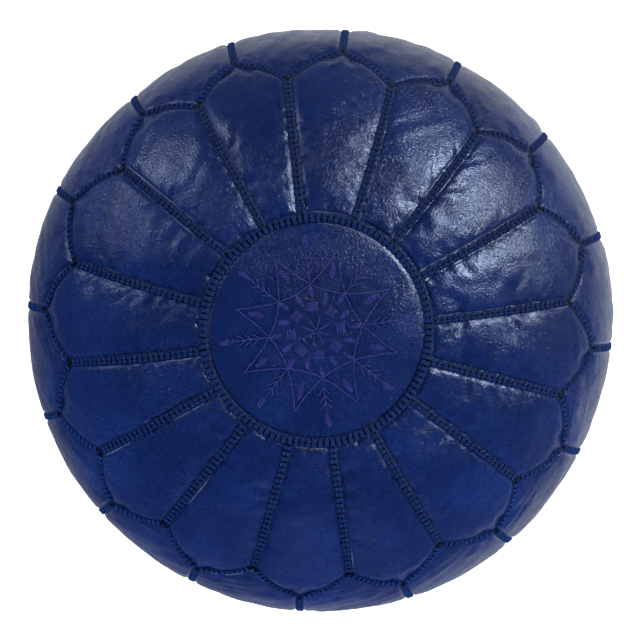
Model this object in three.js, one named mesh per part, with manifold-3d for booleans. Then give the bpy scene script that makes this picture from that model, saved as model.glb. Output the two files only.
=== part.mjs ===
// Moroccan leather pouf: an embroidered top medallion, a ring of pointed petals, a ring of six-sided
// side panels and a ring of base petals, all joined by hand-stitched seams, closed underneath by a
// round base disc with a zip, and filled through it with a lined fibre stuffing.
// Units are millimetres. +Z is up, the origin is the middle of the footprint on the floor, and the
// zip runs along X.
import * as THREE from "three";
import { mergeVertices } from "three/addons/utils/BufferGeometryUtils.js";
import Module from "manifold-3d";

const wasm = await Module();
wasm.setup();

// ---------------------------------------------------------------- driving dimensions
const panelCount = 16; // petals round the top, panels round the side and petals round the base
const bodyDiameter = 530;
const bodyHeight = 330;
const waistHeight = 150; // height of the widest level
const topRoundness = 2.3; // exponent of the upper half's curve: 2 is an ellipse, more is squarer
const baseRoundness = 2.6;
const baseSag = 25; // how much of the lower half the floor has pressed flat
const medallionRadius = 96; // to the middle of the top ring seam
const baseDiscRadius = 125; // to the middle of the base ring seam
const shoulderInset = 48; // how far in from the widest level two petals and a side panel meet
const tipInset = 24; // how far in from the widest level a petal's point meets a side seam
const leatherThickness = 1.5;
const linerThickness = 1;
const seamWidth = 6.4; // a stitched seam across, on petals and sides
const ringSeamWidth = 8;
const seamProud = 1.5; // how far the stitching stands above the leather
const seamDepth = 3; // how far the turned edges reach below the leather's outer face
const seamGap = 0.5; // between a panel's cut edge and the stitching that holds it
const ringGap = 1; // the same for petals, whose straight-sided ends meet a round ring seam
const linerGap = 0.85; // between the turned seams and the liner, besides what its flats cut off
const stuffingGap = 0.5;
const floorGap = 0.2; // stitching pressed flush under the base stays this far off the floor
const tipWidth = 3; // a petal's point is cut this blunt
// How far each radial seam is sewn off its even place at the top ring, in degrees. Hand-cut petals
// are never quite alike. The further from the middle, the less of it is left.
const seamSway = [-2, -2, -3, -3.5, 0.5, -2, -2, 2.5, 3.5, 1.5, 1, 2, 1, 0, 2, 0.5];
const outerSwayShare = 0.4;

const dishRise = 16; // width of the slope from the base disc's edge up to its flat raised middle
const dishDepth = 8; // height of that middle off the floor, which keeps the zip's pull clear
const pullClearance = 0.5; // from the flat middle's edge to the pull's tip, with the zip open
const zipSlotWidth = 14;
const tapeWidth = 12;
const tapeThickness = 0.7;
const tapeGap = 0.3; // between the tape and the leather it is sewn under
const toothRowWidth = 2.6;
const toothRowHeight = 3;
const toothPitch = 6;
const toothRelief = 0.8; // depth of the notches between teeth
const toothRowGap = 1.2; // between the two rows, where the slider's wedge runs
const zipInset = 5; // from the end of the slot to the end of the zip's teeth
const stopLength = 3;

const sliderLength = 13;
const sliderWidth = 11;
const sliderPlate = 1.2;
const sliderGap = 0.4; // running clearance round the teeth
const wedgeLength = 5;
const wedgeThickness = 0.5;
const lipWidth = 1; // the plates' turned side edges
const lugLength = 8.4;
const lugWidth = 4;
const lugOpening = 2.2;
const lugThickness = 1.2;
const pullPinRadius = 0.7;
const pullWidth = 9;
const pullArm = 1.8;
const pullLength = 26;
const pullThickness = 1.4;
const pullSlotLength = 8;

const embroideryThickness = 0.7;
const embroideryGap = 0.3;
const embroideryLine = 2.2;
const starTipShare = 0.74; // of the medallion's radius
const starWaistShare = 0.37;
const starPoints = 8;
const starCurve = 2.6; // how late the star's sides swing out to their tips

// ---------------------------------------------------------------- finishes
const finish = (color, roughness, metalness = 0) =>
  new THREE.MeshStandardMaterial({ color, roughness, metalness });
const navyLeather = finish(0x1b2e6e, 0.45);
const navyThread = finish(0x16306b, 0.7);
const violetThread = finish(0x4747a8, 0.6);
const cottonCanvas = finish(0xcfc6b2, 0.9);
const whiteFibre = finish(0xe6e2d8, 1);
const navyTape = finish(0x141c3f, 0.85);
const agedBrass = finish(0xa8905a, 0.35, 0.9);

// ---------------------------------------------------------------- the body's curve
const pitch = (2 * Math.PI) / panelCount;
const bodyRadius = bodyDiameter / 2;
const shoulderRadius = bodyRadius - shoulderInset;
const tipRadius = bodyRadius - tipInset;
const topReach = bodyHeight - waistHeight;
const baseReach = waistHeight + baseSag;

// The outer curve from the top's middle to the base's middle, as points with their distance along it.
function makeMeridian(samplesPerHalf = 240) {
  const points = [];
  const add = (r, z) => {
    const last = points.at(-1);
    const step = last ? Math.hypot(r - last.r, z - last.z) : 0;
    if (!last || step > 0) points.push({ r, z, s: last ? last.s + step : 0 });
  };
  for (let i = 0; i <= samplesPerHalf; i++) {
    const t = (Math.PI / 2) * (1 - i / samplesPerHalf);
    add(
      bodyRadius * Math.cos(t) ** (2 / topRoundness),
      waistHeight + topReach * Math.sin(t) ** (2 / topRoundness),
    );
  }
  for (let i = 1; i <= samplesPerHalf; i++) {
    const t = (Math.PI / 2) * (i / samplesPerHalf);
    add(
      bodyRadius * Math.max(Math.cos(t), 0) ** (2 / baseRoundness),
      Math.max(waistHeight - baseReach * Math.sin(t) ** (2 / baseRoundness), 0),
    );
  }
  return points;
}
const meridian = makeMeridian();

// The point on the curve at distance s along it, with its outward normal.
function onMeridian(s) {
  let i = 1;
  while (i < meridian.length - 1 && meridian[i].s < s) i++;
  const a = meridian[i - 1];
  const b = meridian[i];
  const t = (s - a.s) / (b.s - a.s);
  const length = Math.hypot(b.r - a.r, b.z - a.z);
  return {
    r: a.r + t * (b.r - a.r),
    z: a.z + t * (b.z - a.z),
    nr: -(b.z - a.z) / length,
    nz: (b.r - a.r) / length,
  };
}

// The distance along the curve at which it reaches radius r, on the upper or the lower half.
function distanceTo(r, lower) {
  const waist = meridian.findIndex((p) => p.r >= bodyRadius * 0.99999);
  const half = lower ? meridian.slice(waist) : meridian.slice(0, waist + 1);
  const i = half.findIndex((p) => (lower ? p.r <= r : p.r >= r));
  const a = half[i - 1];
  const b = half[i];
  return a.s + ((r - a.r) / (b.r - a.r)) * (b.s - a.s);
}

// A point in space at distance s along the curve, at angle a, lifted off the surface by lift.
function onBody(s, a, lift) {
  const p = onMeridian(s);
  const r = p.r + lift * p.nr;
  const z = p.z + lift * p.nz;
  return [r * Math.cos(a), r * Math.sin(a), z];
}

const ringS = distanceTo(medallionRadius, false);
const shoulderS = distanceTo(shoulderRadius, false);
const tipS = distanceTo(tipRadius, false);
const baseTipS = distanceTo(tipRadius, true);
const baseShoulderS = distanceTo(shoulderRadius, true);
const baseRingS = distanceTo(baseDiscRadius, true);
const waistS = meridian.find((p) => p.r >= bodyRadius * 0.99999).s;
const contactS = meridian.find((p) => p.s > waistS && p.z === 0).s; // where it meets the floor

// ---------------------------------------------------------------- seam lines
const wrap = (k) => ((k % panelCount) + panelCount) % panelCount;
const swayOf = (k) => THREE.MathUtils.degToRad(seamSway[wrap(k) % seamSway.length]);
const blendTo = (from, to, t) => from + (to - from) * t;

// Angle of radial seam k on the petals: fully swayed at the top ring, less at the shoulder.
function petalSeam(k, s) {
  const t = THREE.MathUtils.clamp((s - ringS) / (shoulderS - ringS), 0, 1);
  return k * pitch + swayOf(k) * blendTo(1, outerSwayShare, t);
}
const shoulderAngle = (k) => k * pitch + swayOf(k) * outerSwayShare;
const tipAngle = (k) => (shoulderAngle(k) + shoulderAngle(k + 1)) / 2;
const slant = (from, to, s0, s1) => (s) => blendTo(from, to, (s - s0) / (s1 - s0));

// How far, as an angle, a line lies that is kept `distance` away from the seam line `angle` at s.
function inset(angle, s, distance) {
  const step = 0.5;
  const { r } = onMeridian(s);
  const slope = (r * (angle(s + step) - angle(s - step))) / (2 * step);
  return (distance * Math.hypot(1, slope)) / r;
}

// The left or right edge of a panel: the innermost of its seam lines, each kept its distance away.
const leftEdge = (seams, margin) => (s) =>
  Math.max(...seams.map((seam) => seam(s) + inset(seam, s, margin)));
const rightEdge = (seams, margin) => (s) =>
  Math.min(...seams.map((seam) => seam(s) - inset(seam, s, margin)));

// The s between lo and hi at which f changes sign.
function crossing(f, lo, hi) {
  const rising = f(hi) > f(lo);
  for (let i = 0; i < 40; i++) {
    const mid = (lo + hi) / 2;
    if (f(mid) > 0 === rising) hi = mid;
    else lo = mid;
  }
  return (lo + hi) / 2;
}

// ---------------------------------------------------------------- building blocks
// A closed sheet from a grid of points: place(i, j, lift) with lift outer on one face, inner on the other.
function sheetGeometry(rows, columns, place, outer, inner) {
  const positions = [];
  for (const lift of [outer, inner]) {
    for (let i = 0; i <= rows; i++) {
      for (let j = 0; j <= columns; j++) positions.push(...place(i, j, lift));
    }
  }
  const count = (rows + 1) * (columns + 1);
  const at = (i, j, face) => face * count + i * (columns + 1) + j;
  const index = [];
  const quad = (a, b, c, d) => index.push(a, b, c, a, c, d);
  for (let i = 0; i < rows; i++) {
    for (let j = 0; j < columns; j++) {
      quad(at(i, j, 0), at(i + 1, j, 0), at(i + 1, j + 1, 0), at(i, j + 1, 0));
      quad(at(i, j, 1), at(i, j + 1, 1), at(i + 1, j + 1, 1), at(i + 1, j, 1));
    }
    quad(at(i, 0, 0), at(i, 0, 1), at(i + 1, 0, 1), at(i + 1, 0, 0));
    quad(at(i, columns, 0), at(i + 1, columns, 0), at(i + 1, columns, 1), at(i, columns, 1));
  }
  for (let j = 0; j < columns; j++) {
    quad(at(0, j, 0), at(0, j + 1, 0), at(0, j + 1, 1), at(0, j, 1));
    quad(at(rows, j, 0), at(rows, j, 1), at(rows, j + 1, 1), at(rows, j + 1, 0));
  }
  const geometry = new THREE.BufferGeometry();
  geometry.setAttribute("position", new THREE.Float32BufferAttribute(positions, 3));
  geometry.setIndex(index);
  return geometry;
}

function solidOf(geometry) {
  const bare = geometry.clone();
  bare.deleteAttribute("normal");
  bare.deleteAttribute("uv");
  const merged = mergeVertices(bare, 1e-3);
  return new wasm.Manifold(
    new wasm.Mesh({
      numProp: 3,
      vertProperties: new Float32Array(merged.attributes.position.array),
      triVerts: new Uint32Array(merged.index.array),
    }),
  );
}

function geometryOf(solid) {
  const mesh = solid.getMesh();
  const geometry = new THREE.BufferGeometry();
  geometry.setAttribute("position", new THREE.BufferAttribute(mesh.vertProperties, 3));
  geometry.setIndex(new THREE.BufferAttribute(mesh.triVerts, 1));
  return geometry;
}

const joined = (solids) => solids.reduce((whole, solid) => whole.add(solid));

function boxSolid([x0, x1], [y0, y1], [z0, z1]) {
  const box = new THREE.BoxGeometry(x1 - x0, y1 - y0, z1 - z0);
  return solidOf(box.translate((x0 + x1) / 2, (y0 + y1) / 2, (z0 + z1) / 2));
}

// A solid of revolution about Z from a closed outline of [r, z] points that runs outwards underneath.
function turned(outline, segments) {
  const points = [...outline, outline[0]].map(([r, z]) => new THREE.Vector2(r, z));
  return new THREE.LatheGeometry(points, segments).rotateX(Math.PI / 2);
}

const body = new THREE.Group();
function addPiece(name, geometry, material) {
  const mesh = new THREE.Mesh(geometry, material);
  mesh.name = name;
  body.add(mesh);
}
const numbered = (name, k) => `${name}_${String(k + 1).padStart(2, "0")}`;

// ---------------------------------------------------------------- leather panels
const panelColumns = 2;
const margin = seamWidth / 2 + seamGap;
const ringMargin = ringSeamWidth / 2 + ringGap;
const slantMiddle = (shoulderS + tipS) / 2;
const baseSlantMiddle = (baseShoulderS + baseTipS) / 2;

// A panel between two edges, with rows of points at the distances in stops.
function panelGeometry(left, right, stops) {
  const place = (i, j, lift) => {
    const s = stops[i];
    return onBody(s, blendTo(left(s), right(s), j / panelColumns), lift);
  };
  return sheetGeometry(stops.length - 1, panelColumns, place, 0, -leatherThickness);
}

const evenStops = (from, to, count) =>
  Array.from({ length: count + 1 }, (_, i) => blendTo(from, to, i / count));

// Where the lines kept a margin away from two seams cross, which is a corner of the panel.
function cornerOf([first, second], lo, hi) {
  const offset = (seam, s) => seam(s) + inset(seam, s, margin);
  return crossing((s) => offset(second, s) - offset(first, s), lo, hi);
}

// Where a panel that narrows towards `end` has become as narrow as its blunt tip.
function bluntEnd(left, right, wide, end) {
  const spare = (s) => onMeridian(s).r * (right(s) - left(s)) - tipWidth;
  return crossing(spare, wide, end);
}

function topPetal(k) {
  const leftSeams = [
    (s) => petalSeam(k, s),
    slant(shoulderAngle(k), tipAngle(k), shoulderS, tipS),
  ];
  const rightSeams = [
    (s) => petalSeam(k + 1, s),
    slant(shoulderAngle(k + 1), tipAngle(k), shoulderS, tipS),
  ];
  const left = leftEdge(leftSeams, margin);
  const right = rightEdge(rightSeams, margin);
  const end = bluntEnd(left, right, shoulderS, tipS);
  const corner = cornerOf(leftSeams, ringS, tipS);
  const stops = [...evenStops(ringS + ringMargin, corner, 3), slantMiddle, end];
  return panelGeometry(left, right, stops);
}

function sidePanel(k) {
  const leftSeams = [
    () => tipAngle(k - 1),
    slant(shoulderAngle(k), tipAngle(k - 1), shoulderS, tipS),
    slant(shoulderAngle(k), tipAngle(k - 1), baseShoulderS, baseTipS),
  ];
  const rightSeams = [
    () => tipAngle(k),
    slant(shoulderAngle(k), tipAngle(k), shoulderS, tipS),
    slant(shoulderAngle(k), tipAngle(k), baseShoulderS, baseTipS),
  ];
  const left = leftEdge(leftSeams, margin);
  const right = rightEdge(rightSeams, margin);
  const start = bluntEnd(left, right, tipS, shoulderS);
  const end = bluntEnd(left, right, baseTipS, baseShoulderS);
  const [side, upperSlant, lowerSlant] = leftSeams;
  const upper = cornerOf([upperSlant, side], shoulderS, waistS);
  const lower = cornerOf([side, lowerSlant], waistS, baseShoulderS);
  const stops = [start, slantMiddle, ...evenStops(upper, lower, 4), baseSlantMiddle, end];
  return panelGeometry(left, right, stops);
}

function basePetal(k) {
  const leftSeams = [
    () => shoulderAngle(k),
    slant(shoulderAngle(k), tipAngle(k), baseShoulderS, baseTipS),
  ];
  const rightSeams = [
    () => shoulderAngle(k + 1),
    slant(shoulderAngle(k + 1), tipAngle(k), baseShoulderS, baseTipS),
  ];
  const left = leftEdge(leftSeams, margin);
  const right = rightEdge(rightSeams, margin);
  const start = bluntEnd(left, right, baseShoulderS, baseTipS);
  const corner = cornerOf([leftSeams[1], leftSeams[0]], baseTipS, baseRingS);
  const inner = baseRingS - ringMargin;
  const stops = [start, baseSlantMiddle, ...evenStops(corner, contactS, 2), inner];
  return panelGeometry(left, right, stops);
}

for (let k = 0; k < panelCount; k++) {
  addPiece(numbered("top_petal", k), topPetal(k), navyLeather);
  addPiece(numbered("side_panel", k), sidePanel(k), navyLeather);
  addPiece(numbered("base_petal", k), basePetal(k), navyLeather);
}

// ---------------------------------------------------------------- top medallion and embroidery
const ringSegments = 2 * panelCount;
const medallionEdge = medallionRadius - ringSeamWidth / 2 - seamGap;

// The domed disc between two lifts off the body's curve, out to radius `edge`.
function domeGeometry(edge, upper, lower) {
  const edgeS = distanceTo(edge, false);
  const profile = (lift) =>
    [0, edgeS / 2, edgeS].map((s) => {
      const p = onMeridian(s);
      return [p.r, p.z + lift];
    });
  return turned([...profile(lower), ...profile(upper).reverse()], ringSegments);
}
addPiece("top_medallion", domeGeometry(medallionEdge, 0, -leatherThickness), navyLeather);

// One side of the interlaced star: a curved bar that runs from one tip to the next but one.
function starSide(k) {
  const middle = (2 * Math.PI * (k + 0.5)) / starPoints;
  const reach = (2 * Math.PI) / starPoints;
  const tip = medallionRadius * starTipShare;
  const waist = medallionRadius * starWaistShare;
  const steps = 8;
  const low = bodyHeight - medallionRadius / 2;
  const high = bodyHeight + medallionRadius / 2;
  const place = (i, j, lift) => {
    const u = (2 * i) / steps - 1;
    const r = blendTo(waist, tip, Math.abs(u) ** starCurve) + (j - 0.5) * embroideryLine;
    const a = middle - u * reach;
    return [r * Math.cos(a), r * Math.sin(a), lift];
  };
  return solidOf(sheetGeometry(steps, 1, place, high, low));
}

function embroideryGeometry() {
  const layer = domeGeometry(medallionEdge, embroideryGap + embroideryThickness, embroideryGap);
  const star = joined(Array.from({ length: starPoints }, (_, k) => starSide(k)));
  return geometryOf(solidOf(layer).intersect(star));
}
addPiece("medallion_embroidery", embroideryGeometry(), violetThread);

// ---------------------------------------------------------------- stitched seams
// How far the stitching stands proud at s: pressed flush where the body lies on the floor.
function proudAt(s) {
  const { z } = onMeridian(s);
  return Math.min(seamProud, z - floorGap);
}

// One stitched seam through the distances in stops, at the angle that angleAt gives for each.
function seamSolid(stops, angleAt) {
  const place = (i, j, face) => {
    const s = stops[i];
    const { r } = onMeridian(s);
    const slope = r * (angleAt(s + 0.5) - angleAt(s - 0.5));
    const across = (seamWidth / 2) * (1 - 2 * j);
    const length = Math.hypot(1, slope);
    const lift = face ? proudAt(s) : -seamDepth;
    return onBody(s + (across * slope) / length, angleAt(s) - across / length / r, lift);
  };
  return solidOf(sheetGeometry(stops.length - 1, 1, place, 1, 0));
}

function ringSolid(s) {
  const { r, z } = onMeridian(s);
  const half = ringSeamWidth / 2;
  const top = s < waistS ? z + seamProud : seamDepth;
  const bottom = s < waistS ? z - seamDepth : floorGap;
  const outline = [
    [r - half, bottom],
    [r + half, bottom],
    [r + half, top],
    [r - half, top],
  ];
  return solidOf(turned(outline, ringSegments));
}

const slantStops = evenStops(shoulderS, tipS, 2);
const baseSlantStops = evenStops(baseTipS, baseShoulderS, 2);

function topStitching() {
  const bars = [ringSolid(ringS)];
  const spoke = evenStops(ringS, shoulderS, 3);
  const side = evenStops(tipS, waistS - seamGap / 2, 2);
  for (let k = 0; k < panelCount; k++) {
    const shoulder = shoulderAngle(k);
    bars.push(seamSolid(spoke, (s) => petalSeam(k, s)));
    bars.push(seamSolid(slantStops, slant(shoulder, tipAngle(k), shoulderS, tipS)));
    bars.push(seamSolid(slantStops, slant(shoulder, tipAngle(k - 1), shoulderS, tipS)));
    bars.push(seamSolid(side, () => tipAngle(k)));
  }
  return joined(bars);
}

function baseStitching() {
  const bars = [ringSolid(baseRingS)];
  const spoke = [...evenStops(baseShoulderS, contactS, 2), baseRingS];
  const side = evenStops(waistS + seamGap / 2, baseTipS, 2);
  for (let k = 0; k < panelCount; k++) {
    const shoulder = shoulderAngle(k);
    const slantTo = (tip) => slant(shoulder, tip, baseShoulderS, baseTipS);
    bars.push(seamSolid(side, () => tipAngle(k)));
    bars.push(seamSolid(baseSlantStops, slantTo(tipAngle(k))));
    bars.push(seamSolid(baseSlantStops, slantTo(tipAngle(k - 1))));
    bars.push(seamSolid(spoke, () => shoulder));
  }
  return joined(bars);
}
addPiece("top_stitching", geometryOf(topStitching()), navyThread);
addPiece("base_stitching", geometryOf(baseStitching()), navyThread);

// ---------------------------------------------------------------- base disc with its zip slot
const discEdge = baseDiscRadius - ringSeamWidth / 2 - seamGap;
const dishRadius = discEdge - dishRise;
const sliderX = dishRadius - pullClearance - pullLength; // middle of the slider, zip closed
const zipEnd = sliderX + sliderLength / 2 + stopLength;
const slotEnd = zipEnd + zipInset;
const discFloor = floorGap + seamGap / 2;

function baseDiscSolid() {
  const top = dishDepth + leatherThickness;
  return solidOf(
    turned(
      [
        [0, dishDepth],
        [dishRadius, dishDepth],
        [discEdge, discFloor],
        [discEdge, discFloor + leatherThickness],
        [dishRadius + leatherThickness, top],
        [0, top],
      ],
      ringSegments,
    ),
  );
}

function halfDisc(side) {
  const far = bodyRadius;
  const slot = [-slotEnd, slotEnd];
  const slotHalf = [-zipSlotWidth / 2, zipSlotWidth / 2];
  const keep = side > 0 ? [seamGap / 2, far] : [-far, -seamGap / 2];
  return baseDiscSolid()
    .intersect(boxSolid([-far, far], keep, [-far, far]))
    .subtract(boxSolid(slot, slotHalf, [-far, far]));
}
addPiece("base_disc_left", geometryOf(halfDisc(1)), navyLeather);
addPiece("base_disc_right", geometryOf(halfDisc(-1)), navyLeather);

// ---------------------------------------------------------------- zip
const tapeBottom = dishDepth + leatherThickness + tapeGap;
const tapeTop = tapeBottom + tapeThickness;
const toothMiddle = (tapeBottom + tapeTop) / 2;
const toothRow = [toothMiddle - toothRowHeight / 2, toothMiddle + toothRowHeight / 2];
const bite = 0.2; // how far joined blocks reach into each other, so that they become one piece
const toothInner = toothRowGap / 2;
const toothOuter = toothInner + toothRowWidth;
const zipEnds = [-zipEnd, zipEnd];

// One tape with its row of teeth: notches on the inner edge leave the teeth standing.
function chainSolid(side) {
  const across = (a, b) => (side > 0 ? [a, b] : [-b, -a]);
  const tapeEdges = across(toothOuter - bite, toothInner + tapeWidth);
  const tape = boxSolid(zipEnds, tapeEdges, [tapeBottom, tapeTop]);
  const row = boxSolid(zipEnds, across(toothInner, toothOuter), toothRow);
  const notchEdges = across(toothInner - bite, toothInner + toothRelief);
  const notchHeights = [toothRow[0] - bite, toothRow[1] + bite];
  const notches = [];
  const half = toothPitch / 2;
  const last = zipEnds[1] - stopLength - half;
  for (let x = zipEnds[0] + stopLength + half; x < last; x += toothPitch) {
    notches.push(boxSolid([x, x + half], notchEdges, notchHeights));
  }
  return tape.add(row).subtract(joined(notches));
}
addPiece("zip_chain_left", geometryOf(chainSolid(1)), navyTape);
addPiece("zip_chain_right", geometryOf(chainSolid(-1)), navyTape);

// The slider stands closed at the +X end, one stop length short of the chain's end.
const sliderSpan = [sliderX - sliderLength / 2, sliderX + sliderLength / 2];
const upperPlate = [toothRow[1] + sliderGap, toothRow[1] + sliderGap + sliderPlate];
const lowerPlate = [toothRow[0] - sliderGap - sliderPlate, toothRow[0] - sliderGap];
const lugBase = lowerPlate[0];
const lugFoot = lugBase - lugOpening - lugThickness;

function sliderSolid() {
  const half = sliderWidth / 2;
  const plates = [upperPlate, lowerPlate].map((z) => boxSolid(sliderSpan, [-half, half], z));
  const wedge = boxSolid(
    [sliderSpan[1] - wedgeLength, sliderSpan[1]],
    [-wedgeThickness / 2, wedgeThickness / 2],
    [lowerPlate[0] + bite, upperPlate[1] - bite],
  );
  const lips = [-1, 1].flatMap((side) => {
    const across = side > 0 ? [half - lipWidth, half] : [-half, -half + lipWidth];
    return [
      boxSolid(sliderSpan, across, [tapeTop + sliderGap, upperPlate[1] - bite]),
      boxSolid(sliderSpan, across, [lowerPlate[0] + bite, tapeBottom - sliderGap]),
    ];
  });
  const lug = boxSolid(
    [sliderX - lugLength / 2, sliderX + lugLength / 2],
    [-lugWidth / 2, lugWidth / 2],
    [lugFoot, lugBase + bite],
  ).subtract(
    boxSolid(
      [sliderX - lugLength / 2 + lugThickness, sliderX + lugLength / 2 - lugThickness],
      [-lugWidth, lugWidth],
      [lugFoot + lugThickness, lugBase],
    ),
  );
  return joined([...plates, wedge, ...lips, lug]);
}
addPiece("zip_slider", geometryOf(sliderSolid()), agedBrass);

// The pull hangs on its pin through the slider's lug and lies flat, pointing back along the zip.
const pinZ = lugBase - lugOpening / 2;
function pullSolid() {
  const half = pullWidth / 2;
  const flat = [pinZ - pullThickness / 2, pinZ + pullThickness / 2];
  const pin = new THREE.CylinderGeometry(pullPinRadius, pullPinRadius, pullWidth - 1, 8);
  const blank = boxSolid([sliderX - pullLength, sliderX + pullPinRadius], [-half, half], flat);
  const through = [0, dishDepth];
  const arms = [pullArm - half, half - pullArm];
  const eye = boxSolid([sliderX - lugLength, sliderX + 2 * pullPinRadius], arms, through);
  const holeStart = sliderX - pullLength + pullArm;
  const hole = boxSolid([holeStart, holeStart + pullSlotLength], [-half / 2, half / 2], through);
  return blank.subtract(eye).subtract(hole).add(solidOf(pin.translate(sliderX, 0, pinZ)));
}
addPiece("zip_pull", geometryOf(pullSolid()), agedBrass);

// ---------------------------------------------------------------- liner and stuffing
const linerSegments = 2 * panelCount;
// The seams cut across the body's curve in flats, and the liner stays clear of the middle of each.
const flatSag = (bodyDiameter / 2) * (1 - Math.cos(Math.PI / linerSegments));
const linerLift = -(seamDepth + linerGap + flatSag);
const zipHeadroom = upperPlate[1] + stuffingGap;
const linerDish = [dishRadius + leatherThickness, tapeTop + tapeGap];

// The body's curve at a lift, from the top's middle to the dish in the base.
function shellProfile(lift) {
  const stops = [...evenStops(ringS, waistS, 4), ...evenStops(waistS, contactS, 4).slice(1), baseRingS];
  const outline = [[0, bodyHeight + lift]];
  for (const s of stops) {
    const p = onMeridian(s);
    outline.push([p.r + lift * p.nr, p.z + lift * p.nz]);
  }
  return outline;
}

function linerGeometry() {
  const outer = shellProfile(linerLift);
  const inner = shellProfile(linerLift - linerThickness);
  const [dishR, dishZ] = linerDish;
  const outline = [
    ...outer,
    [dishR, dishZ],
    [0, dishZ],
    [0, dishZ + linerThickness],
    [dishR, dishZ + linerThickness],
    ...inner.slice(1).reverse(),
    inner[0],
  ];
  const bag = solidOf(turned(outline.reverse(), linerSegments));
  const mouth = boxSolid(
    [-slotEnd, slotEnd],
    [-zipSlotWidth / 2, zipSlotWidth / 2],
    [0, zipHeadroom],
  );
  return geometryOf(bag.subtract(mouth));
}
addPiece("inner_liner", linerGeometry(), cottonCanvas);

function stuffingGeometry() {
  const outer = shellProfile(linerLift - linerThickness - stuffingGap);
  const [dishR] = linerDish;
  return turned([...outer, [dishR, zipHeadroom], [0, zipHeadroom]].reverse(), linerSegments);
}
addPiece("stuffing", stuffingGeometry(), whiteFibre);

export default body;
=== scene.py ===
"""The looks of a Moroccan leather pouf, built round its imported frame.

The pouf is a stuffed cover of navy leather. A round embroidered medallion sits in the middle of the
top, pointed petals run out from it, six-sided panels go over the side, and petals and a zipped disc
close the base. Every joint is a raised, hand-sewn seam wrapped with blocks of thick thread.
"""

import logging
import math
from dataclasses import dataclass
from enum import Enum
from functools import cached_property
from typing import Callable, ClassVar, Sequence

import bpy
import numpy as np
from mathutils import Matrix, Vector


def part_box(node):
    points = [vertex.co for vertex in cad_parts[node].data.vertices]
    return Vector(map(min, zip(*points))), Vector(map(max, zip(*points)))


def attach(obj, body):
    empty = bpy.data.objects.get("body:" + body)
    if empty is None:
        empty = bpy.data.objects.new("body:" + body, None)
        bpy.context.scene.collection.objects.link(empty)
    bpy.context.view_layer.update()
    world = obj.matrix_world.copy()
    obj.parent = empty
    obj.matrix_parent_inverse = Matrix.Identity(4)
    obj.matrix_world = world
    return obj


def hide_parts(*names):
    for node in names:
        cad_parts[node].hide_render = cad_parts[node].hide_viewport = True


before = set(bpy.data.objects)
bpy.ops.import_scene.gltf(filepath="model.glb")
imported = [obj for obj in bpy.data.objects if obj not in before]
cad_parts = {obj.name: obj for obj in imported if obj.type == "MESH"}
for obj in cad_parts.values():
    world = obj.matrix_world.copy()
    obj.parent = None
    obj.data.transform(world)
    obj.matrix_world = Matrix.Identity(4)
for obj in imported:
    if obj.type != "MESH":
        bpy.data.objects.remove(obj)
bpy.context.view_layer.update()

MM = 0.001
ROOT = "root"
BODY_RADIUS = 0.265
BODY_HEIGHT = 0.330
PANELS = 16  # petals round the top, panels round the side and petals round the base

log = logging.getLogger("pouf")
Array = np.ndarray
Piece = bpy.types.Object
Material = bpy.types.Material
Socket = bpy.types.NodeSocket
Colour = tuple[float, float, float]


# ------------------------------------------------------------------ small mathematics
def lerp(low: Array | float, high: Array | float, share: Array | float) -> Array | float:
    """Return the value that lies a share of the way from low to high."""
    return low + (high - low) * share


def smooth(value: Array | float, start: float, end: float) -> Array:
    """Ease from 0 at start to 1 at end.

    Args:
        value: What is eased.
        start: Where the rise begins.
        end: Where the rise ends. It may be the lower of the two.

    Returns:
        Numbers from 0 to 1, with level ends.
    """
    t = np.clip((value - start) / (end - start), 0.0, 1.0)
    return t * t * (3.0 - 2.0 * t)


def unit(vectors: Array) -> Array:
    """Return the vectors at length 1."""
    return vectors / np.maximum(np.linalg.norm(vectors, axis=-1, keepdims=True), 1e-12)


def polar(radius: Array, angle: Array, height: Array) -> Array:
    """Return points from their distance off the Z axis, their angle round it and their height."""
    return np.stack(np.broadcast_arrays(radius * np.cos(angle), radius * np.sin(angle), height), -1)


class Unevenness:
    """Smooth noise in space that comes out the same each time, for the marks of hand work."""

    CELLS = 32

    def __init__(self, seed: int) -> None:
        """Draw the table of values.

        Args:
            seed: Which of the many possible tables to draw.
        """
        self.table = np.random.default_rng(seed).uniform(-1.0, 1.0, (self.CELLS,) * 3)

    def at(self, points: Array, size: float | Sequence[float]) -> Array:
        """Read the noise.

        Args:
            points: Places, as an array whose last axis is x, y, z.
            size: How far apart two unrelated values lie, in the same units, in all or each direction.

        Returns:
            Values from -1 to 1, one for each point.
        """
        scaled = points / np.asarray(size)
        cell = np.floor(scaled).astype(int)
        t = scaled - cell
        t = t * t * (3.0 - 2.0 * t)
        total = np.zeros(points.shape[:-1])
        for corner in np.ndindex(2, 2, 2):
            weight = np.prod(np.where(corner, t, 1.0 - t), axis=-1)
            at = (cell + corner) % self.CELLS
            total += weight * self.table[at[..., 0], at[..., 1], at[..., 2]]
        return total

    def along(self, distance: Array, size: float, lane: float = 0.0) -> Array:
        """Read the noise along one line.

        Args:
            distance: Places along the line.
            size: How far apart two unrelated values lie.
            lane: Which line, so that two lines differ.

        Returns:
            Values from -1 to 1, one for each place.
        """
        places = (distance / size, lane * 1.7 + 0.5, 0.5 + 0.0 * distance)
        points = np.stack(np.broadcast_arrays(*places), -1)
        return self.at(points, 1.0)


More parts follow.
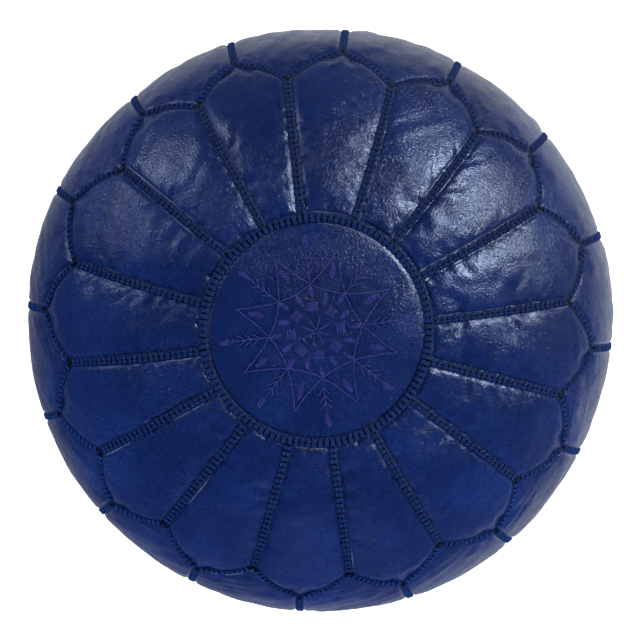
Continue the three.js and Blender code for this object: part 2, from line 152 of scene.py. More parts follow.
# ------------------------------------------------------------------ the body's shape
@dataclass(frozen=True)
class BodyCurve:
    """The pouf's outline in section, as a curve from the top's middle to the base's middle.

    A distance s along that curve and an angle round the Z axis name every place on the body.
    """

    radius: float
    height: float
    waist: float = 150 * MM
    top_roundness: float = 2.3
    base_roundness: float = 2.6
    base_sag: float = 25 * MM
    samples: int = 700

    @cached_property
    def table(self) -> Array:
        """Rows of s, radius, height and the outward normal's two parts."""
        t = np.linspace(0.0, math.pi / 2, self.samples)
        top_r = self.radius * np.sin(t) ** (2 / self.top_roundness)
        top_z = self.waist + (self.height - self.waist) * np.cos(t) ** (2 / self.top_roundness)
        base_r = self.radius * np.cos(t) ** (2 / self.base_roundness)
        drop = np.sin(t) ** (2 / self.base_roundness)
        base_z = np.maximum(self.waist - (self.waist + self.base_sag) * drop, 0.0)
        r = np.concatenate([top_r, base_r[1:]])
        z = np.concatenate([top_z, base_z[1:]])
        s = np.concatenate([[0.0], np.cumsum(np.hypot(np.diff(r), np.diff(z)))])
        even = np.linspace(0.0, s[-1], 2 * self.samples)
        r, z = np.interp(even, s, r), np.interp(even, s, z)
        slope_r, slope_z = np.gradient(r, even), np.gradient(z, even)
        length = np.hypot(slope_r, slope_z)
        return np.stack([even, r, z, -slope_z / length, slope_r / length])

    def read(self, s: Array) -> tuple[Array, Array, Array, Array]:
        """Return radius, height and the normal's outward and upward parts at distance s."""
        even, *columns = self.table
        return tuple(np.interp(s, even, column) for column in columns)

    def distance_to(self, radius: float, lower: bool) -> float:
        """Find a level by its radius.

        Args:
            radius: How far the level lies from the Z axis.
            lower: Whether it is on the lower half.

        Returns:
            Its distance along the curve.
        """
        even, r = self.table[:2]
        widest = int(np.argmax(r))
        if lower:
            return float(np.interp(-radius, -r[widest:], even[widest:]))
        return float(np.interp(radius, r[: widest + 1], even[: widest + 1]))

    def place(self, s: Array, angle: Array, lift: Array | float = 0.0) -> Array:
        """Return points on the body, or lifted off it along its normal."""
        r, z, outward, upward = self.read(s)
        return polar(r + lift * outward, angle, z + lift * upward)

    def normal(self, s: Array, angle: Array) -> Array:
        """Return the body's outward unit normals."""
        _, _, outward, upward = self.read(s)
        return polar(outward, angle, upward)


class Level(Enum):
    """The two rows of petals."""

    TOP = "top"
    BASE = "base"


class SeamPlan:
    """Where every seam of the cover runs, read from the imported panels' own corners."""

    SHOULDER_INSET = 48 * MM  # in from the widest level, where two petals and a side panel meet
    TIP_INSET = 24 * MM  # in from the widest level, where a petal's point meets a side seam
    BOW = 0.34  # how far the zigzag seams swell towards the rim, as a share of their depth
    CORNER_BAND = 2 * MM  # vertices this near an outermost one make up the same corner

    def __init__(self, curve: BodyCurve) -> None:
        """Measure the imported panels.

        Args:
            curve: The body's outline.
        """
        self.curve = curve
        self.pitch = 2 * math.pi / PANELS
        medallion_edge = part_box("top_medallion")[1].x
        first_petal = self._points("top_petal_01")
        petal_start = float(np.hypot(first_petal[:, 0], first_petal[:, 1]).min())
        disc_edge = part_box("base_disc_left")[1].x
        first_base = self._points("base_petal_01")
        base_start = float(np.hypot(first_base[:, 0], first_base[:, 1]).min())
        self.ring_radius = (medallion_edge + petal_start) / 2
        self.base_ring_radius = (disc_edge + base_start) / 2
        self.ring_s = curve.distance_to(self.ring_radius, False)
        self.shoulder_s = curve.distance_to(curve.radius - self.SHOULDER_INSET, False)
        self.tip_s = curve.distance_to(curve.radius - self.TIP_INSET, False)
        self.base_tip_s = curve.distance_to(curve.radius - self.TIP_INSET, True)
        self.base_shoulder_s = curve.distance_to(curve.radius - self.SHOULDER_INSET, True)
        self.base_ring_s = curve.distance_to(self.base_ring_radius, True)
        self.ring_angles = np.array([self._ring_angle(k) for k in range(PANELS)])
        self.shoulder_angles = np.array([self._shoulder_angle(k) for k in range(PANELS)])
        following = np.append(self.shoulder_angles[1:], self.shoulder_angles[0] + 2 * math.pi)
        self.tip_angles = (self.shoulder_angles + following) / 2

    @staticmethod
    def _points(node: str) -> Array:
        """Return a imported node's vertices."""
        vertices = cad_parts[node].data.vertices
        points = np.empty(len(vertices) * 3, np.float32)
        vertices.foreach_get("co", points)
        return points.reshape(-1, 3).astype(float)

    def _angles_near(self, points: Array, middle: float) -> Array:
        """Return the points' angles, wrapped to lie within half a turn of the middle one."""
        angles = np.arctan2(points[:, 1], points[:, 0]) - middle
        return (angles + math.pi) % (2 * math.pi) - math.pi + middle

    def _ring_angle(self, k: int) -> float:
        """Return the angle at which radial seam k leaves the top ring."""
        edges = []
        for petal, pick in ((k, min), ((k - 1) % PANELS, max)):
            points = self._points(numbered("top_petal", petal))
            r = np.hypot(points[:, 0], points[:, 1])
            row = points[r < r.min() + self.CORNER_BAND]
            edges.append(pick(self._angles_near(row, k * self.pitch)))
        return sum(edges) / 2

    def _shoulder_angle(self, k: int) -> float:
        """Return the angle of the point at which radial seam k meets the zigzag."""
        points = self._points(numbered("side_panel", k))
        tip = points[points[:, 2] > points[:, 2].max() - self.CORNER_BAND]
        return float(self._angles_near(tip, k * self.pitch).mean())

    def shoulder(self, k: int) -> float:
        """Return shoulder k's angle, with k counted on past a whole turn."""
        return self.shoulder_angles[k % PANELS] + 2 * math.pi * (k // PANELS)

    def tip(self, k: int) -> float:
        """Return petal tip k's angle, with k counted on past a whole turn."""
        return self.tip_angles[k % PANELS] + 2 * math.pi * (k // PANELS)

    def radial(self, k: int, s: Array) -> Array:
        """Return the angle of top radial seam k at distance s."""
        start = self.ring_angles[k % PANELS] + 2 * math.pi * (k // PANELS)
        share = np.clip((s - self.ring_s) / (self.shoulder_s - self.ring_s), 0.0, 1.0)
        return lerp(start, self.shoulder(k), share)

    def zigzag(self, share: Array, level: Level) -> Array:
        """Follow a zigzag seam.

        Args:
            share: How far along it, from 0 at the shoulder to 1 at the petal's tip.
            level: Which row of petals it borders.

        Returns:
            The distance along the body's curve.
        """
        swelling = share + self.BOW * share * (1.0 - share)
        if level is Level.TOP:
            return lerp(self.shoulder_s, self.tip_s, swelling)
        return lerp(self.base_shoulder_s, self.base_tip_s, swelling)


def numbered(name: str, k: int) -> str:
    """Return the name of copy k, counted from 1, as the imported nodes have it."""
    return f"{name}_{k + 1:02d}"


# ------------------------------------------------------------------ mesh making
def mesh_object(name: str, points: Array, faces: Sequence[Array]) -> Piece:
    """Make an object from plain arrays.

    Args:
        name: The piece's name.
        points: Its vertices.
        faces: Arrays of vertex numbers, each with one row for a face and one column for a corner.

    Returns:
        The new object, linked to the scene and shaded smooth.
    """
    mesh = bpy.data.meshes.new(name)
    counts = np.concatenate([np.full(len(rows), rows.shape[1]) for rows in faces])
    mesh.vertices.add(len(points))
    mesh.vertices.foreach_set("co", points.astype(np.float32).ravel())
    mesh.loops.add(int(counts.sum()))
    corners = np.concatenate([rows.ravel() for rows in faces]).astype(np.int32)
    mesh.loops.foreach_set("vertex_index", corners)
    mesh.polygons.add(len(counts))
    starts = np.concatenate([[0], np.cumsum(counts)[:-1]])
    mesh.polygons.foreach_set("loop_start", starts.astype(np.int32))
    mesh.update(calc_edges=True)
    mesh.validate()
    mesh.polygons.foreach_set("use_smooth", np.ones(len(mesh.polygons), bool))
    piece = bpy.data.objects.new(name, mesh)
    bpy.context.scene.collection.objects.link(piece)
    return piece


def grid_faces(rows: int, columns: int, first: int = 0, wrapped: bool = False) -> Array:
    """List the quads of a grid of vertices.

    Args:
        rows: Vertices one way.
        columns: Vertices the other way.
        first: The number of the grid's first vertex.
        wrapped: Whether the last column joins the first.

    Returns:
        One row of four vertex numbers for each face.
    """
    i = np.arange(rows - 1)[:, None]
    j = np.arange(columns if wrapped else columns - 1)[None, :]
    after = (j + 1) % columns
    here, below = i * columns, (i + 1) * columns
    corners = [here + j, below + j, below + after, here + after]
    return np.stack(np.broadcast_arrays(*corners), -1).reshape(-1, 4) + first


def sheet_object(name: str, outer: Array, inner: Array) -> Piece:
    """Make a closed sheet from its two faces.

    Args:
        name: The piece's name.
        outer: A grid of points, rows by columns by 3, seen from outside.
        inner: The same grid on the hidden face.

    Returns:
        The new object.
    """
    rows, columns = outer.shape[:2]
    count = rows * columns
    index = np.arange(count).reshape(rows, columns)
    border = np.concatenate([index[:-1, 0], index[-1, :-1], index[:0:-1, -1], index[0, :0:-1]])
    following = np.roll(border, -1)
    wall = np.stack([following, border, border + count, following + count], -1)
    back = grid_faces(rows, columns, count)[:, ::-1]
    points = np.concatenate([outer.reshape(-1, 3), inner.reshape(-1, 3)])
    return mesh_object(name, points, [grid_faces(rows, columns), back, wall])


def grid_normals(grid: Array) -> Array:
    """Return the outward unit normals of a grid whose faces turn as grid_faces lists them."""
    return unit(np.cross(np.gradient(grid, axis=0), np.gradient(grid, axis=1)))


def tube_object(
    name: str, paths: Array, across: Array, radius: Array, sides: int = 8
) -> Piece:
    """Make many short closed tubes as one piece, with a UV map that runs round and along each.

    Args:
        name: The piece's name.
        paths: Their centre lines, as tubes by points by 3.
        across: For each tube, a direction roughly square to its line, as tubes by 3.
        radius: The radius at each point of a tube, or at each point of every tube.
        sides: How many sides the round section has.

    Returns:
        The new object.
    """
    tubes, steps = paths.shape[:2]
    along = unit(np.gradient(paths, axis=1))
    side = unit(across[:, None, :] - along * (along * across[:, None, :]).sum(-1, keepdims=True))
    up = np.cross(along, side)
    turn = 2 * math.pi * np.arange(sides) / sides
    width = np.broadcast_to(radius, (tubes, steps))[..., None, None]
    ring = np.cos(turn)[:, None] * side[:, :, None, :] + np.sin(turn)[:, None] * up[:, :, None, :]
    points = paths[:, :, None, :] + width * ring
    one = grid_faces(steps, sides, wrapped=True)[:, ::-1]
    offsets = np.arange(tubes) * steps * sides
    quads = (one[None] + offsets[:, None, None]).reshape(-1, 4)
    start = np.arange(sides)
    ends = (steps - 1) * sides + start[::-1]
    caps = np.concatenate([start[None] + offsets[:, None], ends[None] + offsets[:, None]])
    piece = mesh_object(name, points.reshape(-1, 3), [quads, caps])
    lengths = np.linalg.norm(np.diff(paths, axis=1), axis=-1)
    run = np.concatenate([np.zeros((tubes, 1)), np.cumsum(lengths, axis=1)], axis=1)
    round_share = np.broadcast_to(np.arange(sides) / sides, (tubes, steps, sides))
    lane = np.broadcast_to(run[..., None], (tubes, steps, sides))
    set_uv(piece, np.stack([round_share, lane], -1).reshape(-1, 2))
    return piece


def set_uv(piece: Piece, values: Array) -> None:
    """Give a piece a UV map from one pair of values for each vertex."""
    mesh = piece.data
    layer = mesh.uv_layers.new(name="thread")
    corners = np.empty(len(mesh.loops), np.int32)
    mesh.loops.foreach_get("vertex_index", corners)
    layer.data.foreach_set("uv", values[corners].astype(np.float32).ravel())


def set_attribute(piece: Piece, name: str, values: Array) -> None:
    """Store one number for each vertex, for the material to read."""
    attribute = piece.data.attributes.new(name, "FLOAT", "POINT")
    attribute.data.foreach_set("value", values.astype(np.float32).ravel())


def dress(
    piece: Piece, material: Material, slot: str, *nodes: str, body: str = ROOT
) -> None:
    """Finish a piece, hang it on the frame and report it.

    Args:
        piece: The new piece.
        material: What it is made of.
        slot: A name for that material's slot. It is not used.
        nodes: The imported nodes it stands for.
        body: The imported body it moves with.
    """
    piece.data.materials.clear()
    piece.data.materials.append(material)
    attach(piece, body)
    if nodes:
        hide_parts(*nodes)
    log.info("%s: %d faces", piece.name, len(piece.data.polygons))


# ------------------------------------------------------------------ finishes
class Shader:
    """A short hand for building one node material."""

    def __init__(self, name: str) -> None:
        """Start a material with an empty tree and a principled surface.

        Args:
            name: The material's name.
        """
        self.material = bpy.data.materials.new(name)
        self.material.use_nodes = True
        self.tree = self.material.node_tree
        self.tree.nodes.clear()
        self.surface = self.node("ShaderNodeBsdfPrincipled")
        output = self.node("ShaderNodeOutputMaterial")
        self.tree.links.new(self.surface.outputs["BSDF"], output.inputs["Surface"])

    def node(self, kind: str, **settings: object) -> bpy.types.Node:
        """Add a node.

        Args:
            kind: Its Blender type.
            settings: Its properties. A name that is one of its sockets sets or links that socket.

        Returns:
            The new node.
        """
        made = self.tree.nodes.new(kind)
        for name, value in settings.items():
            socket = made.inputs.get(name.replace("_", " "))
            if socket is None:
                setattr(made, name, value)
            elif isinstance(value, Socket):
                self.tree.links.new(value, socket)
            else:
                socket.default_value = value
        return made

    def set(self, **values: object) -> None:
        """Set or link the principled surface's sockets, with _ for a space in a name."""
        for name, value in values.items():
            socket = self.surface.inputs[name.replace("_", " ")]
            if isinstance(value, Socket):
                self.tree.links.new(value, socket)
            else:
                socket.default_value = value

    def place(self) -> Socket:
        """Return the coordinates in the piece's own metres."""
        return self.node("ShaderNodeTexCoord").outputs["Object"]

    def noise(self, scale: float, detail: float = 3.0, roughness: float = 0.5, distortion: float = 0.0,
              vector: Socket | None = None) -> Socket:
        """Return a cloudy pattern from 0 to 1."""
        made = self.node(
            "ShaderNodeTexNoise", Vector=vector or self.place(), Scale=scale, Detail=detail,
            Roughness=roughness, Distortion=distortion,
        )
        return made.outputs["Fac"]

    def cells(self, scale: float, vector: Socket | None = None) -> Socket:
        """Return rounded pebbles, as a distance from the middle of each."""
        made = self.node(
            "ShaderNodeTexVoronoi", feature="SMOOTH_F1", Vector=vector or self.place(), Scale=scale,
            Smoothness=0.35, Randomness=0.9,
        )
        return made.outputs["Distance"]

    def attribute(self, name: str) -> Socket:
        """Return a number stored on the mesh."""
        return self.node("ShaderNodeAttribute", attribute_name=name).outputs["Fac"]

    def step(self, value: Socket, low: float, high: float, from_: float = 0.0,
             to: float = 1.0) -> Socket:
        """Return value eased from from_ at low to to at high."""
        made = self.node("ShaderNodeMapRange", interpolation_type="SMOOTHSTEP")
        sockets = made.inputs
        self.tree.links.new(value, sockets["Value"])
        for name, number in (("From Min", low), ("From Max", high), ("To Min", from_), ("To Max", to)):
            sockets[name].default_value = number
        return made.outputs["Result"]

    def maths(self, operation: str, first: Socket, second: Socket | float
              ) -> Socket:
        """Return the result of one arithmetic step."""
        made = self.node("ShaderNodeMath", operation=operation)
        self.tree.links.new(first, made.inputs[0])
        if isinstance(second, Socket):
            self.tree.links.new(second, made.inputs[1])
        else:
            made.inputs[1].default_value = second
        return made.outputs[0]

    def blend(self, share: Socket, first: object, second: object) -> Socket:
        """Return a colour mixed from two, each a socket or a plain colour."""
        made = self.node("ShaderNodeMix", data_type="RGBA")
        self.tree.links.new(share, made.inputs[0])
        for value, socket in ((first, made.inputs[6]), (second, made.inputs[7])):
            if isinstance(value, Socket):
                self.tree.links.new(value, socket)
            else:
                socket.default_value = (*value, 1.0)
        return made.outputs[2]

    def relief(self, height: Socket, depth: float, under: Socket | None = None,
               strength: float = 1.0) -> Socket:
        """Return a bumped normal, laid over another where one is given."""
        made = self.node("ShaderNodeBump", Strength=strength, Distance=depth, Height=height)
        if under is not None:
            self.tree.links.new(under, made.inputs["Normal"])
        return made.outputs["Normal"]


@dataclass(frozen=True)
class LeatherFinish:
    """Waxed goatskin, dyed through, with painted shade in the crevices of its grain and beside its
    seams, and a pale line at its folded edges that is partly scuffing and partly a painted highlight.
    """

    deep: Colour = (0.0056, 0.0180, 0.105)
    clear: Colour = (0.0080, 0.0265, 0.150)
    dusty: Colour = (0.0110, 0.0320, 0.160)
    # pale edge line: partly scuffing, partly a painted highlight where the fold catches the light
    worn: Colour = (0.15, 0.17, 0.30)
    # painted shade for the crevices between the grain's pebbles
    pits: Colour = (0.0024, 0.0085, 0.058)
    pebble: float = 520.0
    crackle: float = 300.0

    def build(self) -> Material:
        """Make the material.

        Returns:
            The leather, which reads the seam distance stored on each panel.
        """
        s = Shader("navy_leather")
        clouds = s.noise(16.0, 4.0, 0.55)
        colour = s.blend(s.step(clouds, 0.36, 0.66), self.deep, self.clear)
        dust = s.step(s.noise(60.0, 6.0, 0.65, 0.6), 0.50, 0.78, 0.0, 0.6)
        colour = s.blend(dust, colour, self.dusty)
        pebbles = s.cells(self.pebble)
        # Painted shade: the crevices between the grain's pebbles are darkened.
        colour = s.blend(s.step(pebbles, 0.30, 0.70, 0.0, 0.55), colour, self.pits)
        edge = s.attribute("seam_distance")
        # Painted shade: the leather darkens towards each seam's middle, where the thread and the turned
        # edges shade it.
        groove = s.step(edge, 0.0024, 0.0046, 0.92, 0.0)
        colour = s.blend(groove, colour, (0.0025, 0.0055, 0.026))
        # A pale line along each turned edge, in random patches: partly scuffing, partly a painted
        # highlight where the fold catches the light.
        inner_edge = s.step(edge, 0.0042, 0.0047)
        outer_edge = s.step(edge, 0.0048, 0.0057, 1.0, 0.0)
        rubbed_edge_gleam = s.maths("MULTIPLY", inner_edge, outer_edge)
        apart = s.maths("MULTIPLY", s.attribute("seam_number"), 3.7)
        along = s.node("ShaderNodeVectorMath", operation="ADD")
        s.tree.links.new(s.place(), along.inputs[0])
        s.tree.links.new(apart, along.inputs[1])
        wear_and_gleam_patches = s.noise(14.0, 2.0, 0.5, vector=along.outputs[0])
        rubbed_edge_gleam = s.maths("MULTIPLY", rubbed_edge_gleam, s.step(wear_and_gleam_patches, 0.56, 0.66))
        colour = s.blend(rubbed_edge_gleam, colour, self.worn)
        s.set(Base_Color=colour, Metallic=0.0, IOR=1.48, Specular_IOR_Level=0.42)
        s.set(Specular_Tint=(0.68, 0.81, 1.0, 1.0))
        polish = s.step(s.noise(90.0, 5.0, 0.6), 0.3, 0.7, 0.23, 0.35)
        s.set(Roughness=s.maths("MAXIMUM", polish, s.step(edge, 0.0024, 0.0046, 0.85, 0.0)))
        creases = s.noise(self.crackle, 2.0, 0.55, 1.8)
        ridged = s.maths("ABSOLUTE", s.maths("SUBTRACT", creases, 0.5), 0.0)
        patches = s.step(s.noise(12.0, 2.0, 0.5), 0.38, 0.62, 0.30, 1.0)
        soft = s.relief(s.maths("MULTIPLY", ridged, patches), 0.8 * MM, strength=1.0)
        grain = s.relief(s.maths("MULTIPLY", pebbles, -1.0), 0.30 * MM, soft, 0.75)
        s.set(Normal=grain)
        return s.material


@dataclass(frozen=True)
class ThreadFinish:
    """Thick twisted thread, with its plies running round it and painted shade in the grooves between
    them.
    """

    name: str
    # dark is painted shade in the grooves between the plies; light is the thread on their crests
    dark: Colour
    light: Colour
    twist: float = 620.0
    shine: float = 0.55

    def build(self) -> Material:
        """Make the material.

        Returns:
            The thread, which reads the UV map that runs round and along each strand.
        """
        s = Shader(self.name)
        uv = s.node("ShaderNodeUVMap", uv_map="thread").outputs["UV"]
        parts = s.node("ShaderNodeSeparateXYZ", Vector=uv)
        slant = s.maths("ADD", s.maths("MULTIPLY", parts.outputs["Y"], self.twist), parts.outputs["X"])
        wave = s.maths("SINE", s.maths("MULTIPLY", slant, 2 * math.pi), 0.0)
        # Painted shade: the dark colour lies in the grooves between the plies, the light one on their
        # crests.
        ply_shading = s.step(wave, -0.9, 0.9)
        fuzz = s.noise(900.0, 4.0, 0.7)
        share = s.maths("MULTIPLY", ply_shading, s.step(fuzz, 0.25, 0.8, 0.45, 1.0))
        s.set(Base_Color=s.blend(share, self.dark, self.light), Roughness=self.shine)
        s.set(Specular_IOR_Level=0.09)
        s.set(Normal=s.relief(fuzz, 0.1 * MM, s.relief(wave, 0.12 * MM), 0.4))
        return s.material


@dataclass(frozen=True)
class WovenFinish:
    """Plain woven cloth, or felted fibre where the weave is faint."""

    name: str
    dark: Colour
    light: Colour
    threads: float = 1400.0
    depth: float = 0.25 * MM

    def build(self) -> Material:
        """Make the material.

        Returns:
            The cloth.
        """
        s = Shader(self.name)
        waves = []
        for direction in ("X", "Y"):
            wave = s.node(
                "ShaderNodeTexWave", bands_direction=direction, Vector=s.place(),
                Scale=self.threads / 20, Distortion=0.6, Detail=2.0,
            )
            waves.append(wave.outputs["Fac"])
        weave = s.maths("MAXIMUM", waves[0], waves[1])
        clouds = s.noise(120.0, 5.0, 0.65)
        share = s.maths("MULTIPLY", weave, s.step(clouds, 0.3, 0.7, 0.6, 1.0))
        s.set(Base_Color=s.blend(share, self.dark, self.light), Roughness=0.9)
        s.set(Sheen_Weight=0.2, Normal=s.relief(weave, self.depth, s.relief(clouds, 2 * self.depth)))
        return s.material


@dataclass(frozen=True)
class MetalFinish:
    """Cast zip metal, darker in its hollows and rubbed bright where fingers touch it."""

    bright: Colour = (0.62, 0.49, 0.25)
    dull: Colour = (0.20, 0.15, 0.085)

    def build(self) -> Material:
        """Make the material.

        Returns:
            The metal.
        """
        s = Shader("aged_brass")
        patina = s.noise(260.0, 6.0, 0.65, 0.5)
        s.set(Base_Color=s.blend(s.step(patina, 0.35, 0.65), self.dull, self.bright), Metallic=1.0)
        s.set(Roughness=s.step(patina, 0.3, 0.7, 0.5, 0.28))
        s.set(Normal=s.relief(s.noise(1500.0, 3.0), 0.05 * MM, strength=0.5))
        return s.material


# ------------------------------------------------------------------ the stuffed surface
class Cover:
    """The stuffed cover as one uneven surface, which every panel and every stitch lies on."""

    SWELL = 2.0 * MM  # how far hand stuffing pushes the cover out of true
    LUMPS = 0.7 * MM  # the same for small lumps
    PRESSED = 1.3 * MM  # how high leather pressed on the floor lies, with room for its seams
    PULL = 0.1  # how nearly straight the side panels pull between their seams
    FLAT_RUN = 12 * MM  # how far past a seam the side panels take to pull flat

    def __init__(self, curve: BodyCurve, plan: SeamPlan) -> None:
        """Set the surface up.

        Args:
            curve: The body's outline.
            plan: Where the seams run.
        """
        self.curve = curve
        self.plan = plan
        self.noise = Unevenness(11)
        tips = plan.tip_angles
        self.tips = np.concatenate([tips[-1:] - 2 * math.pi, tips])

    def flatness(self, s: Array) -> Array:
        """Return how far the panels at distance s pull straight between their side seams."""
        plan = self.plan
        upper = smooth(s, plan.shoulder_s, plan.tip_s + self.FLAT_RUN)
        return upper - smooth(s, plan.base_tip_s - self.FLAT_RUN, plan.base_shoulder_s)

    def place(self, s: Array, angle: Array, lift: Array | float = 0.0, clear: float = PRESSED) -> Array:
        """Find points on the cover.

        Args:
            s: Their distance along the body's curve.
            angle: Their angle round the Z axis.
            lift: How far they stand off the surface.
            clear: The least height above the floor.

        Returns:
            The points.
        """
        r, z, outward, upward = self.curve.read(s)
        wrapped = (angle - self.tips[0]) % (2 * math.pi) + self.tips[0]
        after = np.clip(np.searchsorted(self.tips, wrapped, "right"), 1, PANELS)
        middle = (self.tips[after] + self.tips[after - 1]) / 2
        half = (self.tips[after] - self.tips[after - 1]) / 2
        chord = np.cos(half) / np.cos(wrapped - middle)
        r = r * lerp(1.0, chord, self.PULL * self.flatness(s))
        z = np.maximum(z, self.PRESSED)
        at = polar(r, angle, z)
        lift = lift + self.SWELL * self.noise.at(at, 0.12)
        lift = lift + self.LUMPS * self.noise.at(at + 1.0, 0.045)
        points = polar(r + lift * outward, angle, z + lift * upward)
        points[..., 2] = np.maximum(points[..., 2], clear)
        return points


@dataclass(frozen=True)
class SeamRoll:
    """How leather rises at its turned edge beside a seam, then dips where thread pulls it in."""

    edge_height: float = 1.0 * MM
    edge_at: float = 1.3 * MM
    edge_width: float = 1.0 * MM
    dip_depth: float = 0.8 * MM
    dip_at: float = 4.3 * MM
    dip_width: float = 1.5 * MM
    groove_depth: float = 1.3 * MM
    groove_width: float = 0.4 * MM
    pucker: float = 0.42 * MM
    pucker_size: float = 3.4 * MM
    pucker_reach: float = 7.0 * MM

    @staticmethod
    def _bell(distance: Array, middle: float, width: float) -> Array:
        """Return a rounded bump of height 1."""
        return np.exp(-(((distance - middle) / width) ** 2))

    def height(self, distance: Array) -> Array:
        """Return the leather's height at a distance from the seam's middle."""
        edge = self.edge_height * self._bell(distance, self.edge_at, self.edge_width)
        dip = self.dip_depth * self._bell(distance, self.dip_at, self.dip_width)
        groove = self.groove_depth * self._bell(distance, 0.0, self.groove_width)
        return edge - dip - groove

    def puckers(self, distance: Array, along: Array, noise: Unevenness, lane: float) -> Array:
        """Return the small gathers that the thread pulls into the leather.

        Args:
            distance: How far each point lies from the seam's middle.
            along: Where it lies along the seam.
            noise: What sets the gathers apart.
            lane: Which seam it is.

        Returns:
            Heights, in metres.
        """
        fading = np.exp(-distance / self.pucker_reach) * smooth(distance, 1.5 * MM, 3.6 * MM)
        return self.pucker * fading * noise.along(along, self.pucker_size, lane)


class Spacing:
    """Where the lines of a panel's grid lie: close together beside the seams, even in between."""

    STEPS = np.array([0.15, 0.45, 0.9, 1.4, 1.9, 2.5, 3.1, 3.7, 4.3, 5.1, 6.4, 8.4]) * MM
    MOST = 0.40  # of the whole width, which the close lines of one side may take

    def __init__(self, count: int, start_slant: float = 1.0, end_slant: float = 1.0) -> None:
        """Set the lines out.

        Args:
            count: How many there are.
            start_slant: How much wider the first lines lie, where the first seam runs at a slant.
            end_slant: The same at the other end.
        """
        first, last = self.STEPS * start_slant, self.STEPS * end_slant
        inside = np.linspace(0.0, 1.0, count - 2 * len(first) + 2)[1:-1]
        middle = first[-1] * (1.0 - inside) - last[-1] * inside
        self.reach = np.concatenate([first, middle, -last[::-1]])
        self.share = np.concatenate([0.0 * first, inside, np.ones(len(last))])
        self.span = max(first[-1], last[-1])

    def shares(self, width: Array, axis: int) -> Array:
        """Return the lines' places as shares of the width, along one axis of a grid of widths."""
        shape = [1, 1]
        shape[axis] = -1
        squeeze = np.minimum(1.0, self.MOST * width / self.span)
        return self.reach.reshape(shape) * squeeze / width + self.share.reshape(shape)


AngleLine = Callable[[Array], Array]


@dataclass
class Panel:
    """One flat-cut piece of leather, sewn in between four seams."""

    name: str
    left: AngleLine  # the angle of the seam on its clockwise side, at distance s
    right: AngleLine
    start: AngleLine  # the distance s of the seam nearer the top's middle, at a share across
    end: AngleLine
    columns: int
    rows: int
    puff: float
    lane: float
    start_slant: float = 1.0
    end_slant: float = 1.0
    puff_run: float = 13 * MM
    fold: float = 0.45 * MM
    thickness: float = 1.4 * MM

    def outline(self, cover: Cover) -> tuple[Array, ...]:
        """Lay the grid out.

        Args:
            cover: The surface that the panel lies on.

        Returns:
            The shares across and along, the distance s, the angle, and those to the four seams.
        """
        across = Spacing(self.columns)
        along = Spacing(self.rows, self.start_slant, self.end_slant)
        u = np.broadcast_to(np.linspace(0.0, 1.0, self.columns)[None, :], (self.rows, self.columns))
        v = np.broadcast_to(np.linspace(0.0, 1.0, self.rows)[:, None], (self.rows, self.columns))
        for _ in range(5):
            first, last = self.start(u), self.end(u)
            s = lerp(first, last, v)
            left, right = self.left(s), self.right(s)
            width = (right - left) * cover.curve.read(s)[0]
            u = across.shares(width, 1)
            v = along.shares(last - first, 0)
        first, last = self.start(u), self.end(u)
        s = lerp(first, last, v)
        left, right = self.left(s), self.right(s)
        width = (right - left) * cover.curve.read(s)[0]
        length = last - first
        start, end = v * length / self.start_slant, (1 - v) * length / self.end_slant
        sides = (u * width, (1 - u) * width, start, end)
        return u, v, s, lerp(left, right, u), *sides

    def build(self, cover: Cover, roll: SeamRoll, softness: "Softness") -> Piece:
        """Make the panel.

        Args:
            cover: The surface that it lies on.
            roll: How leather runs beside a seam.
            softness: How the stuffing pushes it out.

        Returns:
            The panel as a closed sheet, with each point's distance to the nearest seam.
        """
        u, v, s, angle, *sides = self.outline(cover)
        nearest = np.minimum.reduce(sides)
        crowned = np.prod([1.0 - np.exp(-side / self.puff_run) for side in sides], axis=0)
        lift = self.puff * softness.share(self.name, u, v, crowned)
        lift += roll.height(nearest)
        radius = cover.curve.read(s)[0]
        for number, (side, path) in enumerate(zip(sides, (s, s, angle * radius, angle * radius))):
            lift += roll.puckers(side, path, cover.noise, 4.0 * self.lane + number)
        at = cover.curve.place(s, angle)
        turned = np.stack([s / 0.05, (angle * radius) / 0.011, np.full_like(s, self.lane)], -1)
        lift += self.fold * cover.noise.at(turned, 1.0) * smooth(nearest, 2 * MM, 12 * MM)
        lift += 0.25 * MM * cover.noise.at(at + 3.0, 0.009) * smooth(nearest, 3 * MM, 9 * MM)
        outer = cover.place(s, angle, lift)
        inner = outer - self.thickness * grid_normals(outer)
        piece = sheet_object(self.name, outer, inner)
        number = 4.0 * self.lane + np.argmin(np.stack(sides), axis=0)
        set_attribute(piece, "seam_distance", np.concatenate([nearest.ravel(), nearest.ravel()]))
        set_attribute(piece, "seam_number", np.concatenate([number.ravel(), number.ravel()]))
        return piece


